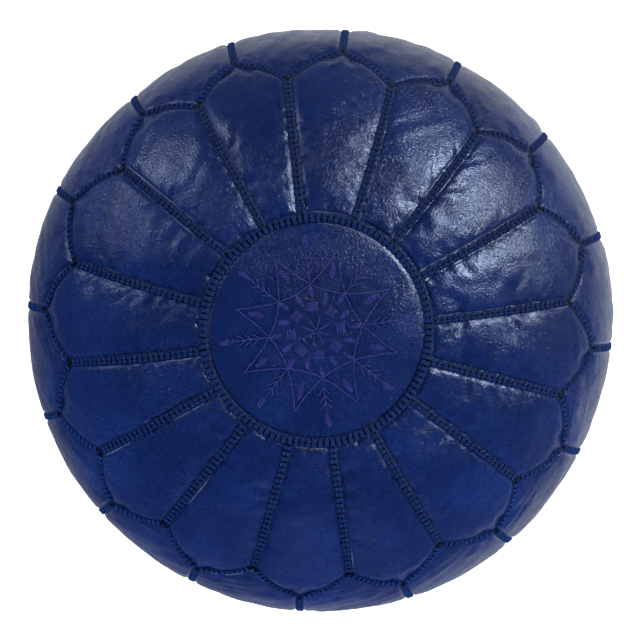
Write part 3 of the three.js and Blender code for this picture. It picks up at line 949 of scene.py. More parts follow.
class Softness:
    """The shape that the stuffing blows each panel out to, from 0 at its seams to about 1."""

    def __init__(self) -> None:
        """Start with no panel tried."""
        self.grids: dict[str, Array] = {}

    def share(self, name: str, u: Array, v: Array, crowned: Array) -> Array:
        """Return a panel's height.

        Args:
            name: The panel's name.
            u: Shares across it.
            v: Shares along it.
            crowned: A plain crowned shape, for a panel that wasn't tried.

        Returns:
            The height at each point.
        """
        if name not in self.grids:
            return crowned
        grid = self.grids[name]
        return self._read(grid, v * (grid.shape[0] - 1), u * (grid.shape[1] - 1))

    @staticmethod
    def _weights(t: Array) -> list[Array]:
        """Return the four weights of a smooth curve through its points."""
        return [
            0.5 * (-t + 2 * t**2 - t**3),
            0.5 * (2 - 5 * t**2 + 3 * t**3),
            0.5 * (t + 4 * t**2 - 3 * t**3),
            0.5 * (-(t**2) + t**3),
        ]

    def _read(self, grid: Array, row: Array, column: Array) -> Array:
        """Read a grid smoothly between its points."""
        i = np.clip(np.floor(row).astype(int), 0, grid.shape[0] - 2)
        j = np.clip(np.floor(column).astype(int), 0, grid.shape[1] - 2)
        total = np.zeros_like(row)
        for a, down in enumerate(self._weights(row - i)):
            for b, over in enumerate(self._weights(column - j)):
                rows = np.clip(i + a - 1, 0, grid.shape[0] - 1)
                columns = np.clip(j + b - 1, 0, grid.shape[1] - 1)
                total += down * over * grid[rows, columns]
        return total


@dataclass
class StuffingTrial:
    """A cloth simulation of the whole cover, held at its seams and pushed out by the stuffing."""

    cover: Cover
    frames: int = 20
    pressure: float = 4.0
    slack: float = 0.016  # the share of leather a panel has to spare, which makes its soft folds
    cap: float = 12 * MM  # the most that a point may move
    cell: float = 5.5 * MM

    CLOTH: ClassVar[dict[str, float]] = {
        "quality": 6,
        "mass": 0.25,
        "tension_stiffness": 30.0,
        "compression_stiffness": 12.0,
        "shear_stiffness": 10.0,
        "bending_stiffness": 0.35,
        "air_damping": 3.0,
    }
    HIGH_SHARE: ClassVar[float] = 90  # the percentile that stands for how far a panel rose

    def _coarse(self, panel: "Panel") -> tuple[Array, Array]:
        """Return a panel's evenly spaced points, as distances s and angles."""
        u, v = np.meshgrid(np.linspace(0, 1, 3), np.linspace(0, 1, 3))
        s = lerp(panel.start(u), panel.end(u), v)
        width = ((panel.right(s) - panel.left(s)) * self.cover.curve.read(s)[0]).mean()
        length = (panel.end(u) - panel.start(u)).mean()
        columns = 2 * round(width / self.cell / 2) + 1
        rows = 2 * round(length / self.cell / 2) + 1
        u, v = np.meshgrid(np.linspace(0, 1, columns), np.linspace(0, 1, rows))
        s = lerp(panel.start(u), panel.end(u), v)
        return s, lerp(panel.left(s), panel.right(s), u)

    def _cloth(self, piece: Piece, held: Array) -> None:
        """Make a piece cloth, held at some of its vertices."""
        group = piece.vertex_groups.new(name="seams")
        group.add(held.tolist(), 1.0, "REPLACE")
        settings = piece.modifiers.new("stuffed", "CLOTH").settings
        for name, value in self.CLOTH.items():
            setattr(settings, name, value)
        settings.vertex_group_mass = "seams"
        settings.use_pressure = True
        settings.uniform_pressure_force = self.pressure
        settings.shrink_min = -self.slack
        settings.effector_weights.gravity = 0.0

    def run(self, panels: Sequence["Panel"]) -> Softness:
        """Try the stuffing.

        Args:
            panels: Every panel of the cover.

        Returns:
            The shape that each came out with.
        """
        grids = [self._coarse(panel) for panel in panels]
        starts = np.cumsum([0] + [s.size for s, _ in grids])
        resting = [self.cover.place(s, angle, 0.0) for s, angle in grids]
        faces = [grid_faces(*s.shape, first=int(start)) for (s, _), start in zip(grids, starts)]
        points = np.concatenate([rest.reshape(-1, 3) for rest in resting])
        piece = mesh_object("cover_on_trial", points, [np.concatenate(faces)])
        held = []
        for (s, _), start in zip(grids, starts):
            edge = np.ones(s.shape, bool)
            edge[1:-1, 1:-1] = False
            held.append(np.flatnonzero(edge) + int(start))
        self._cloth(piece, np.concatenate(held))
        scene = bpy.context.scene
        for number in range(1, self.frames + 1):
            scene.frame_set(number)
        evaluated = piece.evaluated_get(bpy.context.evaluated_depsgraph_get())
        moved = np.empty(len(points) * 3, np.float32)
        evaluated.data.vertices.foreach_get("co", moved)
        moved = moved.reshape(-1, 3).astype(float)
        scene.frame_set(1)
        bpy.data.objects.remove(piece)
        softness = Softness()
        heights: dict[str, list[float]] = {}
        for panel, (s, angle), rest, start in zip(panels, grids, resting, starts):
            way = moved[start:start + s.size].reshape(rest.shape) - rest
            rise = (way * self.cover.curve.normal(s, angle)).sum(-1)
            softness.grids[panel.name] = np.clip(rise, -self.cap / 4, self.cap)
            risen = float(np.percentile(rise, self.HIGH_SHARE))
            heights.setdefault(panel.name[:-3], []).append(risen)
        for name, grid in softness.grids.items():
            softness.grids[name] = grid / np.mean(heights[name[:-3]])
        for kind, values in heights.items():
            log.info("%s rose by %.1f to %.1f mm", kind, min(values) / MM, max(values) / MM)
        return softness


class LeatherCover:
    """The 48 panels sewn between the medallion and the base disc."""

    SLANT = 1.29  # how much wider the grid's lines lie beside a zigzag seam
    TOP_PUFF = 3.2 * MM
    SIDE_PUFF = 2.2 * MM
    BASE_PUFF = 1.5 * MM

    def __init__(self, cover: Cover, leather: Material) -> None:
        """Plan the panels.

        Args:
            cover: The surface that they lie on.
            leather: Their finish.
        """
        self.cover = cover
        self.leather = leather
        makers = (self._top, self._side, self._base)
        self.panels = [make(k) for make in makers for k in range(PANELS)]

    def _top(self, k: int) -> Panel:
        """Return top petal k, between two radial seams and the zigzag."""
        plan = self.cover.plan
        return Panel(
            numbered("top_petal_leather", k),
            lambda s: plan.radial(k, s),
            lambda s: plan.radial(k + 1, s),
            lambda u: np.full_like(u, plan.ring_s),
            lambda u: plan.zigzag(1.0 - np.abs(2.0 * u - 1.0), Level.TOP),
            columns=54, rows=74, puff=self.TOP_PUFF, lane=float(k), end_slant=self.SLANT,
        )

    def _side(self, k: int) -> Panel:
        """Return side panel k, between two side seams and the zigzags of both rows of petals."""
        plan = self.cover.plan
        before, middle, after = plan.tip(k - 1), plan.shoulder(k), plan.tip(k)

        def share(u: Array) -> Array:
            """Return how far along its zigzag seam each share across the panel lies."""
            angle = lerp(before, after, u)
            reach = np.where(angle < middle, middle - before, after - middle)
            return np.abs(angle - middle) / reach

        return Panel(
            numbered("side_panel_leather", k),
            lambda s: np.full_like(s, before),
            lambda s: np.full_like(s, after),
            lambda u: plan.zigzag(share(u), Level.TOP),
            lambda u: plan.zigzag(share(u), Level.BASE),
            columns=58, rows=112, puff=self.SIDE_PUFF, lane=float(20 + k),
            start_slant=self.SLANT, end_slant=self.SLANT, puff_run=16 * MM, fold=0.6 * MM,
        )

    def _base(self, k: int) -> Panel:
        """Return base petal k, between two radial seams, the zigzag and the base ring."""
        plan = self.cover.plan
        return Panel(
            numbered("base_petal_leather", k),
            lambda s: np.full_like(s, plan.shoulder(k)),
            lambda s: np.full_like(s, plan.shoulder(k + 1)),
            lambda u: plan.zigzag(1.0 - np.abs(2.0 * u - 1.0), Level.BASE),
            lambda u: np.full_like(u, plan.base_ring_s),
            columns=50, rows=54, puff=self.BASE_PUFF, lane=float(40 + k), start_slant=self.SLANT,
        )

    def build(self, softness: Softness) -> None:
        """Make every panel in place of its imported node."""
        roll = SeamRoll()
        for panel in self.panels:
            piece = panel.build(self.cover, roll, softness)
            dress(piece, self.leather, "leather", panel.name.replace("_leather", ""))


# ------------------------------------------------------------------ sewing
@dataclass
class SeamThread:
    """Blocks of thick thread sewn over a raised seam, three strands to a block."""

    cover: Cover
    half_width: float
    crest: float = 1.95 * MM  # how high the strands stand over the seam's middle
    middle_dip: float = 0.0  # how far they sink between the two turned edges
    block: float = 5.2 * MM
    strands: int = 3
    strand_gap: float = 1.12 * MM
    radius: float = 0.60 * MM
    bury: float = 1.5 * MM  # how deep a strand's ends go into the leather
    steps: int = 9
    clear: float = 0.25 * MM  # the least height of a thread above the floor

    def strands_along(self, s: Array, angle: Array, seed: int) -> tuple[Array, Array]:
        """Sew one run of seam.

        Args:
            s: Points along the seam, as distances along the body's curve.
            angle: Their angles.
            seed: Sets this run's small faults.

        Returns:
            The strands' centre lines, and the direction of the seam at each.
        """
        chance = np.random.default_rng(seed)
        line = self.cover.place(s, angle)
        reach = np.concatenate([[0.0], np.cumsum(np.linalg.norm(np.diff(line, axis=0), axis=1))])
        blocks = max(1, round(reach[-1] / self.block))
        pitch = reach[-1] / blocks
        offset = (np.arange(self.strands) - (self.strands - 1) / 2) * self.strand_gap
        at = ((np.arange(blocks) + 0.5) * pitch)[:, None] + offset[None, :]
        at = at.ravel() + chance.normal(0.0, 0.05 * MM, at.size)
        lean = np.repeat(chance.normal(0.0, 0.06, blocks), self.strands)
        lean = lean + chance.normal(0.0, 0.03, at.size)
        reach_out = 1.0 + np.repeat(chance.normal(0.0, 0.04, blocks), self.strands)
        rise = np.repeat(chance.normal(0.0, 0.10 * MM, blocks), self.strands)

        def read(values: Array) -> Array:
            """Return values at the strands' places."""
            return np.stack([np.interp(at, reach, column) for column in values.T], -1)

        normals = self.cover.curve.normal(s, angle)
        along = unit(read(np.gradient(line, axis=0)))
        up = unit(read(normals))
        over = unit(np.cross(up, along))
        q = np.linspace(-1.0, 1.0, self.steps)
        arch = 1.0 - np.abs(q) ** 2.4
        bell = np.exp(-((q / 0.26) ** 2))
        height = (self.crest + rise)[:, None] * arch
        height = height - self.bury * np.abs(q) ** 3 - self.middle_dip * bell
        spread = self.half_width * reach_out[:, None] * np.sin(q * 1.35) / math.sin(1.35)
        paths = read(line)[:, None, :] + over[:, None, :] * spread[..., None]
        leaning = along[:, None, :] * (lean[:, None] * spread)[..., None]
        paths += leaning + up[:, None, :] * height[..., None]
        paths[..., 2] = np.maximum(paths[..., 2], self.clear + self.radius)
        return paths, along

    def build(self, name: str, runs: Sequence[tuple[Array, Array]], seed: int) -> Piece:
        """Sew several runs of seam as one piece."""
        sewn = [self.strands_along(*run, seed + number) for number, run in enumerate(runs)]
        paths = np.concatenate([paths for paths, _ in sewn])
        along = np.concatenate([along for _, along in sewn])
        profile = self.radius * (1.0 - 0.25 * np.abs(np.linspace(-1.0, 1.0, self.steps)) ** 6)
        return tube_object(name, paths, along, profile)


class Stitching:
    """All the thread that joins the panels."""

    SAMPLES = 60
    CROSSING = 3.2 * MM  # where one seam starts beside another

    def __init__(self, cover: Cover, thread: Material) -> None:
        """Keep what the seams are sewn on and with.

        Args:
            cover: The surface.
            thread: The thread's finish.
        """
        self.cover = cover
        self.thread = thread

    def _ring(self, s: float) -> list[tuple[Array, Array]]:
        """Return a run right round at distance s."""
        angle = np.linspace(0.0, 2 * math.pi, 8 * self.SAMPLES)
        return [(np.full_like(angle, s), angle)]

    def _radials(
        self, line: Callable[[int, Array], Array], first: float, last: float
    ) -> list[tuple[Array, Array]]:
        """Return 16 runs from one distance to another."""
        s = np.linspace(first, last, self.SAMPLES)
        return [(s, line(k, s)) for k in range(PANELS)]

    def _zigzags(self, level: Level) -> list[tuple[Array, Array]]:
        """Return the 32 slanted runs of one row of petals."""
        plan = self.cover.plan
        share = np.linspace(0.07, 0.95, self.SAMPLES)
        runs = []
        for k in range(PANELS):
            for tip in (plan.tip(k - 1), plan.tip(k)):
                runs.append((plan.zigzag(share, level), lerp(plan.shoulder(k), tip, share)))
        return runs

    def build(self) -> None:
        """Sew every seam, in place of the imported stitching."""
        plan, cross = self.cover.plan, self.CROSSING
        beside_ring = 1.6 * MM
        ring = SeamThread(self.cover, 4.1 * MM, crest=2.1 * MM)
        spoke = SeamThread(self.cover, 3.7 * MM, middle_dip=0.95 * MM)
        slanted = SeamThread(self.cover, 3.5 * MM, middle_dip=0.6 * MM)
        side = SeamThread(self.cover, 3.3 * MM, crest=1.6 * MM, middle_dip=0.6 * MM)

        def shoulder(k: int, s: Array) -> Array:
            """Return the angle of base radial seam k."""
            return np.full_like(s, plan.shoulder(k))

        def tip(k: int, s: Array) -> Array:
            """Return the angle of side seam k."""
            return np.full_like(s, plan.tip(k))

        work = (
            ("medallion_ring_thread", ring, self._ring(plan.ring_s), "top_stitching"),
            ("top_spoke_thread", spoke,
             self._radials(plan.radial, plan.ring_s + cross + beside_ring,
                           plan.shoulder_s - cross / 2), ""),
            ("top_zigzag_thread", slanted, self._zigzags(Level.TOP), ""),
            ("side_seam_thread", side,
             self._radials(tip, plan.tip_s + cross, plan.base_tip_s - cross), ""),
            ("base_ring_thread", ring, self._ring(plan.base_ring_s), "base_stitching"),
            ("base_spoke_thread", spoke,
             self._radials(shoulder, plan.base_shoulder_s + cross,
                           plan.base_ring_s - cross - beside_ring), ""),
            ("base_zigzag_thread", slanted, self._zigzags(Level.BASE), ""),
        )
        for number, (name, kind, runs, node) in enumerate(work):
            piece = kind.build(name, runs, 100 * (number + 1))
            dress(piece, self.thread, "stitching_thread", *([node] if node else []))


# ------------------------------------------------------------------ medallion
def lathe_object(name: str, rows: Array, closed_ends: bool = True) -> Piece:
    """Make a round piece from rings of points, from its outside's middle over its edge and back.

    Args:
        name: The piece's name.
        rows: Rings by points by 3.
        closed_ends: Whether each end ring is closed with a middle point, or joined to the other.

    Returns:
        The new object.
    """
    count, around = rows.shape[:2]
    points = rows.reshape(-1, 3)
    faces = [grid_faces(count, around, wrapped=True)]
    here = np.arange(around)
    after = (here + 1) % around
    last = (count - 1) * around
    if closed_ends:
        points = np.concatenate([points, rows[:1].mean(1), rows[-1:].mean(1)])
        first_middle, last_middle = count * around, count * around + 1
        faces.append(np.stack([np.full(around, first_middle), here, after], -1))
        faces.append(np.stack([last + here, np.full(around, last_middle), last + after], -1))
    else:
        faces.append(np.stack([last + here, here, after, last + after], -1))
    return mesh_object(name, points, faces)


@dataclass
class Medallion:
    """The round leather piece in the middle of the top, with its embroidery."""

    cover: Cover
    leather: Material
    thread: Material
    puff: float = 2.0 * MM
    puff_run: float = 22 * MM
    thickness: float = 1.4 * MM
    seam_gap: float = 0.15 * MM
    rings: int = 66
    around: int = 288
    thread_radius: float = 0.36 * MM
    gather: float = 0.10 * MM  # how far the embroidery puckers the leather

    EDGE_STEPS: ClassVar[tuple[float, ...]] = (0.0, 0.3, 0.7, 1.2, 1.7, 2.3, 2.9, 3.5, 4.1, 4.9, 6.0)

    @cached_property
    def radius(self) -> float:
        """Return the radius to the middle of its seam, measured over the leather."""
        return self.cover.plan.ring_s

    def height(self, s: Array, angle: Array) -> Array:
        """Return how far the leather stands off the cover at distance s."""
        roll = SeamRoll()
        edge = self.radius - s
        lift = self.puff * (1.0 - np.exp(-edge / self.puff_run)) + roll.height(edge)
        lift = lift + roll.puckers(edge, angle * self.radius, self.cover.noise, 90.0)
        at = polar(s, angle, 0.3)
        noise = self.cover.noise
        gathers = self.gather * noise.at(at + 2.0, 0.0042) * smooth(edge, 14 * MM, 30 * MM)
        return lift + gathers + 0.3 * MM * noise.at(at, 0.016) * smooth(edge, 3 * MM, 12 * MM)

    def build_leather(self) -> None:
        """Make the round piece."""
        steps = self.seam_gap + np.array(self.EDGE_STEPS) * MM
        inside = np.linspace(1.2 * MM, self.radius - steps[-1] - 1.6 * MM, self.rings - len(steps))
        s = np.concatenate([inside, self.radius - steps[::-1]])
        angle = 2 * math.pi * np.arange(self.around) / self.around
        s, angle = np.meshgrid(s, angle, indexing="ij")
        outer = self.cover.place(s, angle, self.height(s, angle))
        inner = outer - self.thickness * self.cover.curve.normal(s, angle)
        piece = lathe_object("medallion_leather", np.concatenate([outer, inner[::-1]]))
        edge = self.radius - s
        middles = np.full(2, self.radius)
        edges = np.concatenate([edge.ravel(), edge[::-1].ravel(), middles])
        set_attribute(piece, "seam_distance", edges)
        dress(piece, self.leather, "leather", "top_medallion")

    def _on_leather(self, flat: Array, lift: Array) -> Array:
        """Lay points given flat, in shares of the medallion's radius, onto the leather at a lift."""
        s = np.hypot(flat[..., 0], flat[..., 1]) * self.radius
        angle = np.arctan2(flat[..., 1], flat[..., 0])
        return self.cover.place(s, angle, self.height(s, angle) + lift)

    def sew(self, ends: Array, bump: float = 0.42 * MM) -> Array:
        """Turn straight stitches, given flat by their two ends, into strands over the leather."""
        q = np.linspace(-1.0, 1.0, 7)
        flat = lerp(ends[:, None, 0], ends[:, None, 1], ((q + 1.0) / 2)[None, :, None])
        lift = bump * (1.0 - q**2) - 0.25 * MM * q**6 + 0.12 * MM
        return self._on_leather(flat, np.broadcast_to(lift, flat.shape[:2]))

    def build_embroidery(self) -> None:
        """Sew the star."""
        ends = StarPattern().stitches()
        paths = self.sew(ends)
        across = np.broadcast_to(np.array([0.0, 0.0, 1.0]), (len(paths), 3))
        profile = self.thread_radius * np.array([0.7, 0.95, 1.0, 1.0, 1.0, 0.95, 0.7])
        piece = tube_object("medallion_star_thread", paths, across, profile, sides=6)
        dress(piece, self.thread, "embroidery_thread", "medallion_embroidery")


@dataclass(frozen=True)
class StarPattern:
    """An eight-fold star with sprigs and leaves, laid out flat on a circle of radius 1."""

    turn: float = math.radians(23.2)  # the first star point's angle
    fold: int = 8
    tip: float = 0.73
    inward: float = 0.150  # how far the star's long lines bow towards the middle
    stitch: float = 0.034
    seed: int = 5

    def _axis(self, k: float) -> float:
        """Return the angle of star point k, or of the axis between two where k is a half."""
        return self.turn + 2 * math.pi * k / self.fold

    @staticmethod
    def _at(radius: float, angle: float) -> Array:
        """Return a point from its radius and angle."""
        return np.array([radius * math.cos(angle), radius * math.sin(angle)])

    @staticmethod
    def _row(line: Array, pitch: float, length: float, slant: float = 0.0) -> Array:
        """Sew a line of stitches end to end.

        Args:
            line: Points along it.
            pitch: How far apart the stitches start.
            length: How long each is.
            slant: How far each leans off the line, in radians.

        Returns:
            The stitches' ends.
        """
        reach = np.concatenate([[0.0], np.cumsum(np.linalg.norm(np.diff(line, axis=0), axis=1))])
        count = max(1, round(reach[-1] / pitch))
        at = (np.arange(count) + 0.5) / count * reach[-1]
        middle = np.stack([np.interp(at, reach, column) for column in line.T], -1)
        slope = np.gradient(line, axis=0)
        way = unit(np.stack([np.interp(at, reach, column) for column in slope.T], -1))
        side = np.stack([-way[:, 1], way[:, 0]], -1)
        step = (way * math.cos(slant) + side * math.sin(slant)) * length / 2
        return np.stack([middle - step, middle + step], 1)

    @staticmethod
    def _leaf(base: Array, angle: float, length: float, width: float, count: int = 9) -> Array:
        """Fill a leaf with slanted stitches on both sides of its rib, and return their ends."""
        t = (np.arange(count) + 0.5) / count
        way = np.array([math.cos(angle), math.sin(angle)])
        side = np.array([-way[1], way[0]])
        rib = base + way * (t * length)[:, None]
        half = width / 2 * np.sin(math.pi * np.clip(t * 0.92 + 0.06, 0.0, 1.0)) ** 0.8
        out = side * half[:, None]
        lean = way * (half * 1.1)[:, None]
        return np.stack([rib - out * 0.9 - lean * 0.2, rib + out + lean], 1)

    @staticmethod
    def _block(middle: Array, angle: float, length: float, width: float, count: int = 6) -> Array:
        """Fill a small block with side-by-side stitches across the angle, and return their ends."""
        way = np.array([math.cos(angle), math.sin(angle)])
        side = np.array([-way[1], way[0]])
        at = middle + way * (((np.arange(count) + 0.5) / count - 0.5) * length)[:, None]
        return np.stack([at - side * width / 2, at + side * width / 2], 1)

    def _star_line(self, k: int) -> Array:
        """Return the long line from star point k to point k + 2, bowed inward."""
        start, end = self._at(self.tip, self._axis(k)), self._at(self.tip, self._axis(k + 2))
        t = np.linspace(0.0, 1.0, 40)[:, None]
        inward = -unit(start + end)
        return lerp(start, end, t) + inward * (self.inward * np.sin(math.pi * t))

    def _sprig(self, k: int) -> list[Array]:
        """Return a sprig between two star points: a stem, three pairs of needles and a leaf."""
        axis = self._axis(k + 0.5)
        stem = np.stack([self._at(r, axis) for r in np.linspace(0.42, 0.72, 12)])
        parts = [self._row(stem, 0.034, 0.042)]
        for r, length in ((0.50, 0.085), (0.565, 0.085), (0.63, 0.07)):
            for side in (-1.0, 1.0):
                root = self._at(r, axis)
                needle = np.stack([root, root + self._at(length, axis + side * 0.62)])
                parts.append(self._row(needle, 0.045, 0.045))
        parts.append(self._leaf(self._at(0.725, axis), axis, 0.125, 0.062))
        return parts

    def stitches(self) -> Array:
        """Return the ends of every stitch, with small faults."""
        parts = []
        for k in range(self.fold):
            axis, between = self._axis(k), self._axis(k + 0.5)
            parts.append(self._row(self._star_line(k), self.stitch, self.stitch * 1.25, 0.10))
            parts.extend(self._sprig(k))
            parts.append(self._leaf(self._at(0.475, axis), axis, 0.14, 0.062, 10))
            parts.append(self._leaf(self._at(0.240, axis), axis, 0.10, 0.055))
            parts.append(self._block(self._at(0.215, between), between, 0.080, 0.095))
            parts.append(self._leaf(self._at(0.30, between), between, 0.10, 0.05, 8))
            ray = np.stack([self._at(0.02, axis), self._at(0.13, axis)])
            parts.append(self._row(ray, 0.055, 0.058))
        ends = np.concatenate(parts)
        return ends + np.random.default_rng(self.seed).normal(0.0, 0.0022, ends.shape)


# ------------------------------------------------------------------ base disc and zip
class Side(Enum):
    """The two halves that the zip joins, with the sign of their Y."""

    LEFT = 1
    RIGHT = -1

    @property
    def word(self) -> str:
        """Return the side's name in lower case."""
        return self.name.lower()


@dataclass
class ZippedBase:
    """The base's round middle: two leather halves, dished up off the floor round a zip."""

    cover: Cover
    leather: Material
    thread: Material
    tape: Material
    metal: Material
    dish_radius: float = 104.5 * MM
    dish_height: float = 8.15 * MM
    slot_half: float = 7.0 * MM
    slot_end: float = 92.5 * MM
    closed_half: float = 0.35 * MM
    thickness: float = 1.3 * MM
    columns: int = 230
    rows: int = 70
    tooth_pitch: float = 3.0 * MM
    tooth_radius: float = 1.12 * MM
    tape_gap: float = 1.1 * MM  # between the two tapes, under the teeth
    tape_tail: float = 9.5 * MM  # how far a tape runs on past its teeth, hidden by the leather
    stop_radius: float = 1.4 * MM

    def slot_edge(self, x: Array) -> Array:
        """Return how far a half's inner edge lies from the zip's middle line."""
        share = smooth(np.abs(x), self.slot_end - 3 * MM, self.slot_end + MM)
        return lerp(self.slot_half, self.closed_half, share)

    def underside(self, x: Array, y: Array) -> Array:
        """Return the height of the leather's lower face."""
        r = np.hypot(x, y)
        rim = self.cover.plan.base_ring_radius
        outer = smooth(r, rim - 3 * MM, self.dish_radius - MM)
        z = lerp(Cover.PRESSED, self.dish_height, outer)
        hem = np.abs(y) - self.slot_edge(x)
        z = z - 0.35 * MM * np.exp(-(((hem - 1.6 * MM) / (1.3 * MM)) ** 2))
        bump = 0.3 * MM * np.exp(-(((hem - 3.6 * MM) / (1.0 * MM)) ** 2))
        z = z + bump * smooth(self.slot_end - np.abs(x), 0.0, MM)
        wave = self.cover.noise.at(np.stack([x, y, 0 * x + 0.4], -1), 0.018)
        return z + 0.25 * MM * wave * outer

    def build_half(self, side: Side) -> None:
        """Make one leather half."""
        rim = self.cover.plan.base_ring_radius - 0.15 * MM
        widest = math.sqrt(rim**2 - (self.closed_half + 0.5 * MM) ** 2)
        x = widest * np.sin(np.linspace(-math.pi / 2, math.pi / 2, self.columns))
        t = np.linspace(0.0, 1.0, self.rows)
        t = t - 0.10 * np.sin(2 * math.pi * t)
        inner, outer = self.slot_edge(x), np.sqrt(rim**2 - x**2)
        y = lerp(inner[None, :], outer[None, :], t[:, None])
        if side is Side.RIGHT:
            y = -y[::-1]
        x = np.broadcast_to(x, y.shape)
        z = self.underside(x, y)
        tucked = np.exp(-((rim - np.hypot(x, y)) / (0.4 * MM)) ** 2)
        z = np.maximum(z + SeamRoll().groove_depth * tucked, Cover.PRESSED)
        lower = np.stack([x, y, z], -1)
        upper = lower + np.array([0.0, 0.0, self.thickness])
        piece = sheet_object(f"base_disc_{side.word}_leather", lower, upper)
        edge = (rim - np.hypot(x, y)).ravel()
        set_attribute(piece, "seam_distance", np.concatenate([edge, edge]))
        dress(piece, self.leather, "leather", f"base_disc_{side.word}")

    def build_zip_sewing(self) -> None:
        """Sew the tapes to the leather beside the slot, and the halves together past its ends."""
        length, pitch = 3.2 * MM, 4.4 * MM
        middle = np.arange(-self.slot_end + 6 * MM, self.slot_end - 5 * MM, pitch)
        q = np.linspace(-1.0, 1.0, 7)
        paths = []
        for side in Side:
            x = middle[:, None] + q * length / 2
            y = np.full_like(x, side.value * (self.slot_half + 3.6 * MM))
            z = self.underside(x, y) - 0.25 * MM * (1 - q**2) + 0.35 * MM * q**6
            paths.append(np.stack([x, y, z], -1))
        running = sum(len(part) for part in paths)
        rim = self.cover.plan.base_ring_radius
        join = np.arange(self.slot_end + 2 * MM, rim - 6 * MM, 2.6 * MM)
        for end in (-1.0, 1.0):
            x = end * join[:, None] + 0.4 * MM * q
            y = np.broadcast_to(1.8 * MM * q, x.shape)
            z = self.underside(x, y) - 0.40 * MM * (1 - q**2) + 0.35 * MM * q**6
            paths.append(np.stack([x, y, z], -1))
        paths = np.concatenate(paths)
        across = np.tile([0.0, 1.0, 0.0], (len(paths), 1))
        across[running:] = 1.0, 0.0, 0.0
        piece = tube_object("zip_sewing_thread", paths, across, np.full(7, 0.34 * MM))
        dress(piece, self.thread, "stitching_thread")

    def build_chain(self, side: Side) -> None:
        """Make one tape and its row of teeth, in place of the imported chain."""
        low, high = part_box(f"zip_chain_{side.word}")
        self._build_tape(side, low, high)
        self._build_teeth(side, low, high)

    def _build_tape(self, side: Side, low: Vector, high: Vector) -> None:
        """Weave one tape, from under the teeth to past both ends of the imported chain's box."""
        middle = (low.z + high.z) / 2
        near, far = self.tape_gap / 2, max(abs(low.y), abs(high.y))
        y = np.linspace(near, far, 14)
        if side is Side.RIGHT:
            y = -y[::-1]
        x = np.linspace(low.x - self.tape_tail, high.x + self.tape_tail, 200)
        y, x = np.meshgrid(y, x, indexing="ij")
        ripple = 0.07 * MM * np.sin(x / (1.9 * MM)) * smooth(np.abs(y), near, far)
        lower = np.stack([x, y, middle - 0.3 * MM + ripple], -1)
        upper = lower + np.array([0.0, 0.0, 0.6 * MM])
        piece = sheet_object(f"zip_tape_{side.word}", lower, upper)
        dress(piece, self.tape, "zip_tape", f"zip_chain_{side.word}")

    def _build_teeth(self, side: Side, low: Vector, high: Vector) -> None:
        """Set one tape's teeth, and a stop at each end of them."""
        middle = (low.z + high.z) / 2
        start = low.x + 4 * MM + (0.0 if side is Side.LEFT else self.tooth_pitch / 2)
        at = np.arange(start, high.x - 4 * MM, self.tooth_pitch)
        reach = np.array([0.62, 0.75, 1.3, 2.2, 3.3, 4.3, 4.7]) * MM
        paths = np.zeros((len(at), len(reach), 3))
        paths[..., 0] = at[:, None]
        paths[..., 1] = side.value * reach
        paths[..., 2] = middle
        across = np.broadcast_to(np.array([1.0, 0.0, 0.0]), (len(at), 3))
        profile = self.tooth_radius * np.array([0.6, 0.86, 1.0, 0.9, 0.92, 0.86, 0.5])
        stops = np.zeros((2, len(reach), 3))
        ends = np.array([[low.x + 1.5 * MM], [high.x - 1.5 * MM]])
        stops[..., 0] = ends + np.linspace(-1.3, 1.3, len(reach)) * MM
        stops[..., 1] = side.value * (self.tape_gap / 2 + self.stop_radius)
        stops[..., 2] = middle
        stop_profile = self.stop_radius * np.array([0.7, 0.95, 1.0, 1.0, 1.0, 0.95, 0.7])
        paths = np.concatenate([paths, stops])
        across = np.concatenate([across, np.tile([0.0, 1.0, 0.0], (2, 1))])
        profile = np.concatenate([np.tile(profile, (len(at), 1)), np.tile(stop_profile, (2, 1))])
        teeth = tube_object(f"zip_teeth_{side.word}", paths, across, profile, sides=10)
        dress(teeth, self.metal, "zip_metal")

    def build(self) -> None:
        """Make the halves, their sewing and the zip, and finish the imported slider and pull."""
        for side in Side:
            self.build_half(side)
            self.build_chain(side)
        self.build_zip_sewing()
        for name in ("zip_slider", "zip_pull"):
            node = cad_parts[name]
            node.data.materials.clear()
            node.data.materials.append(self.metal)
            log.info("%s: finished in brass", name)


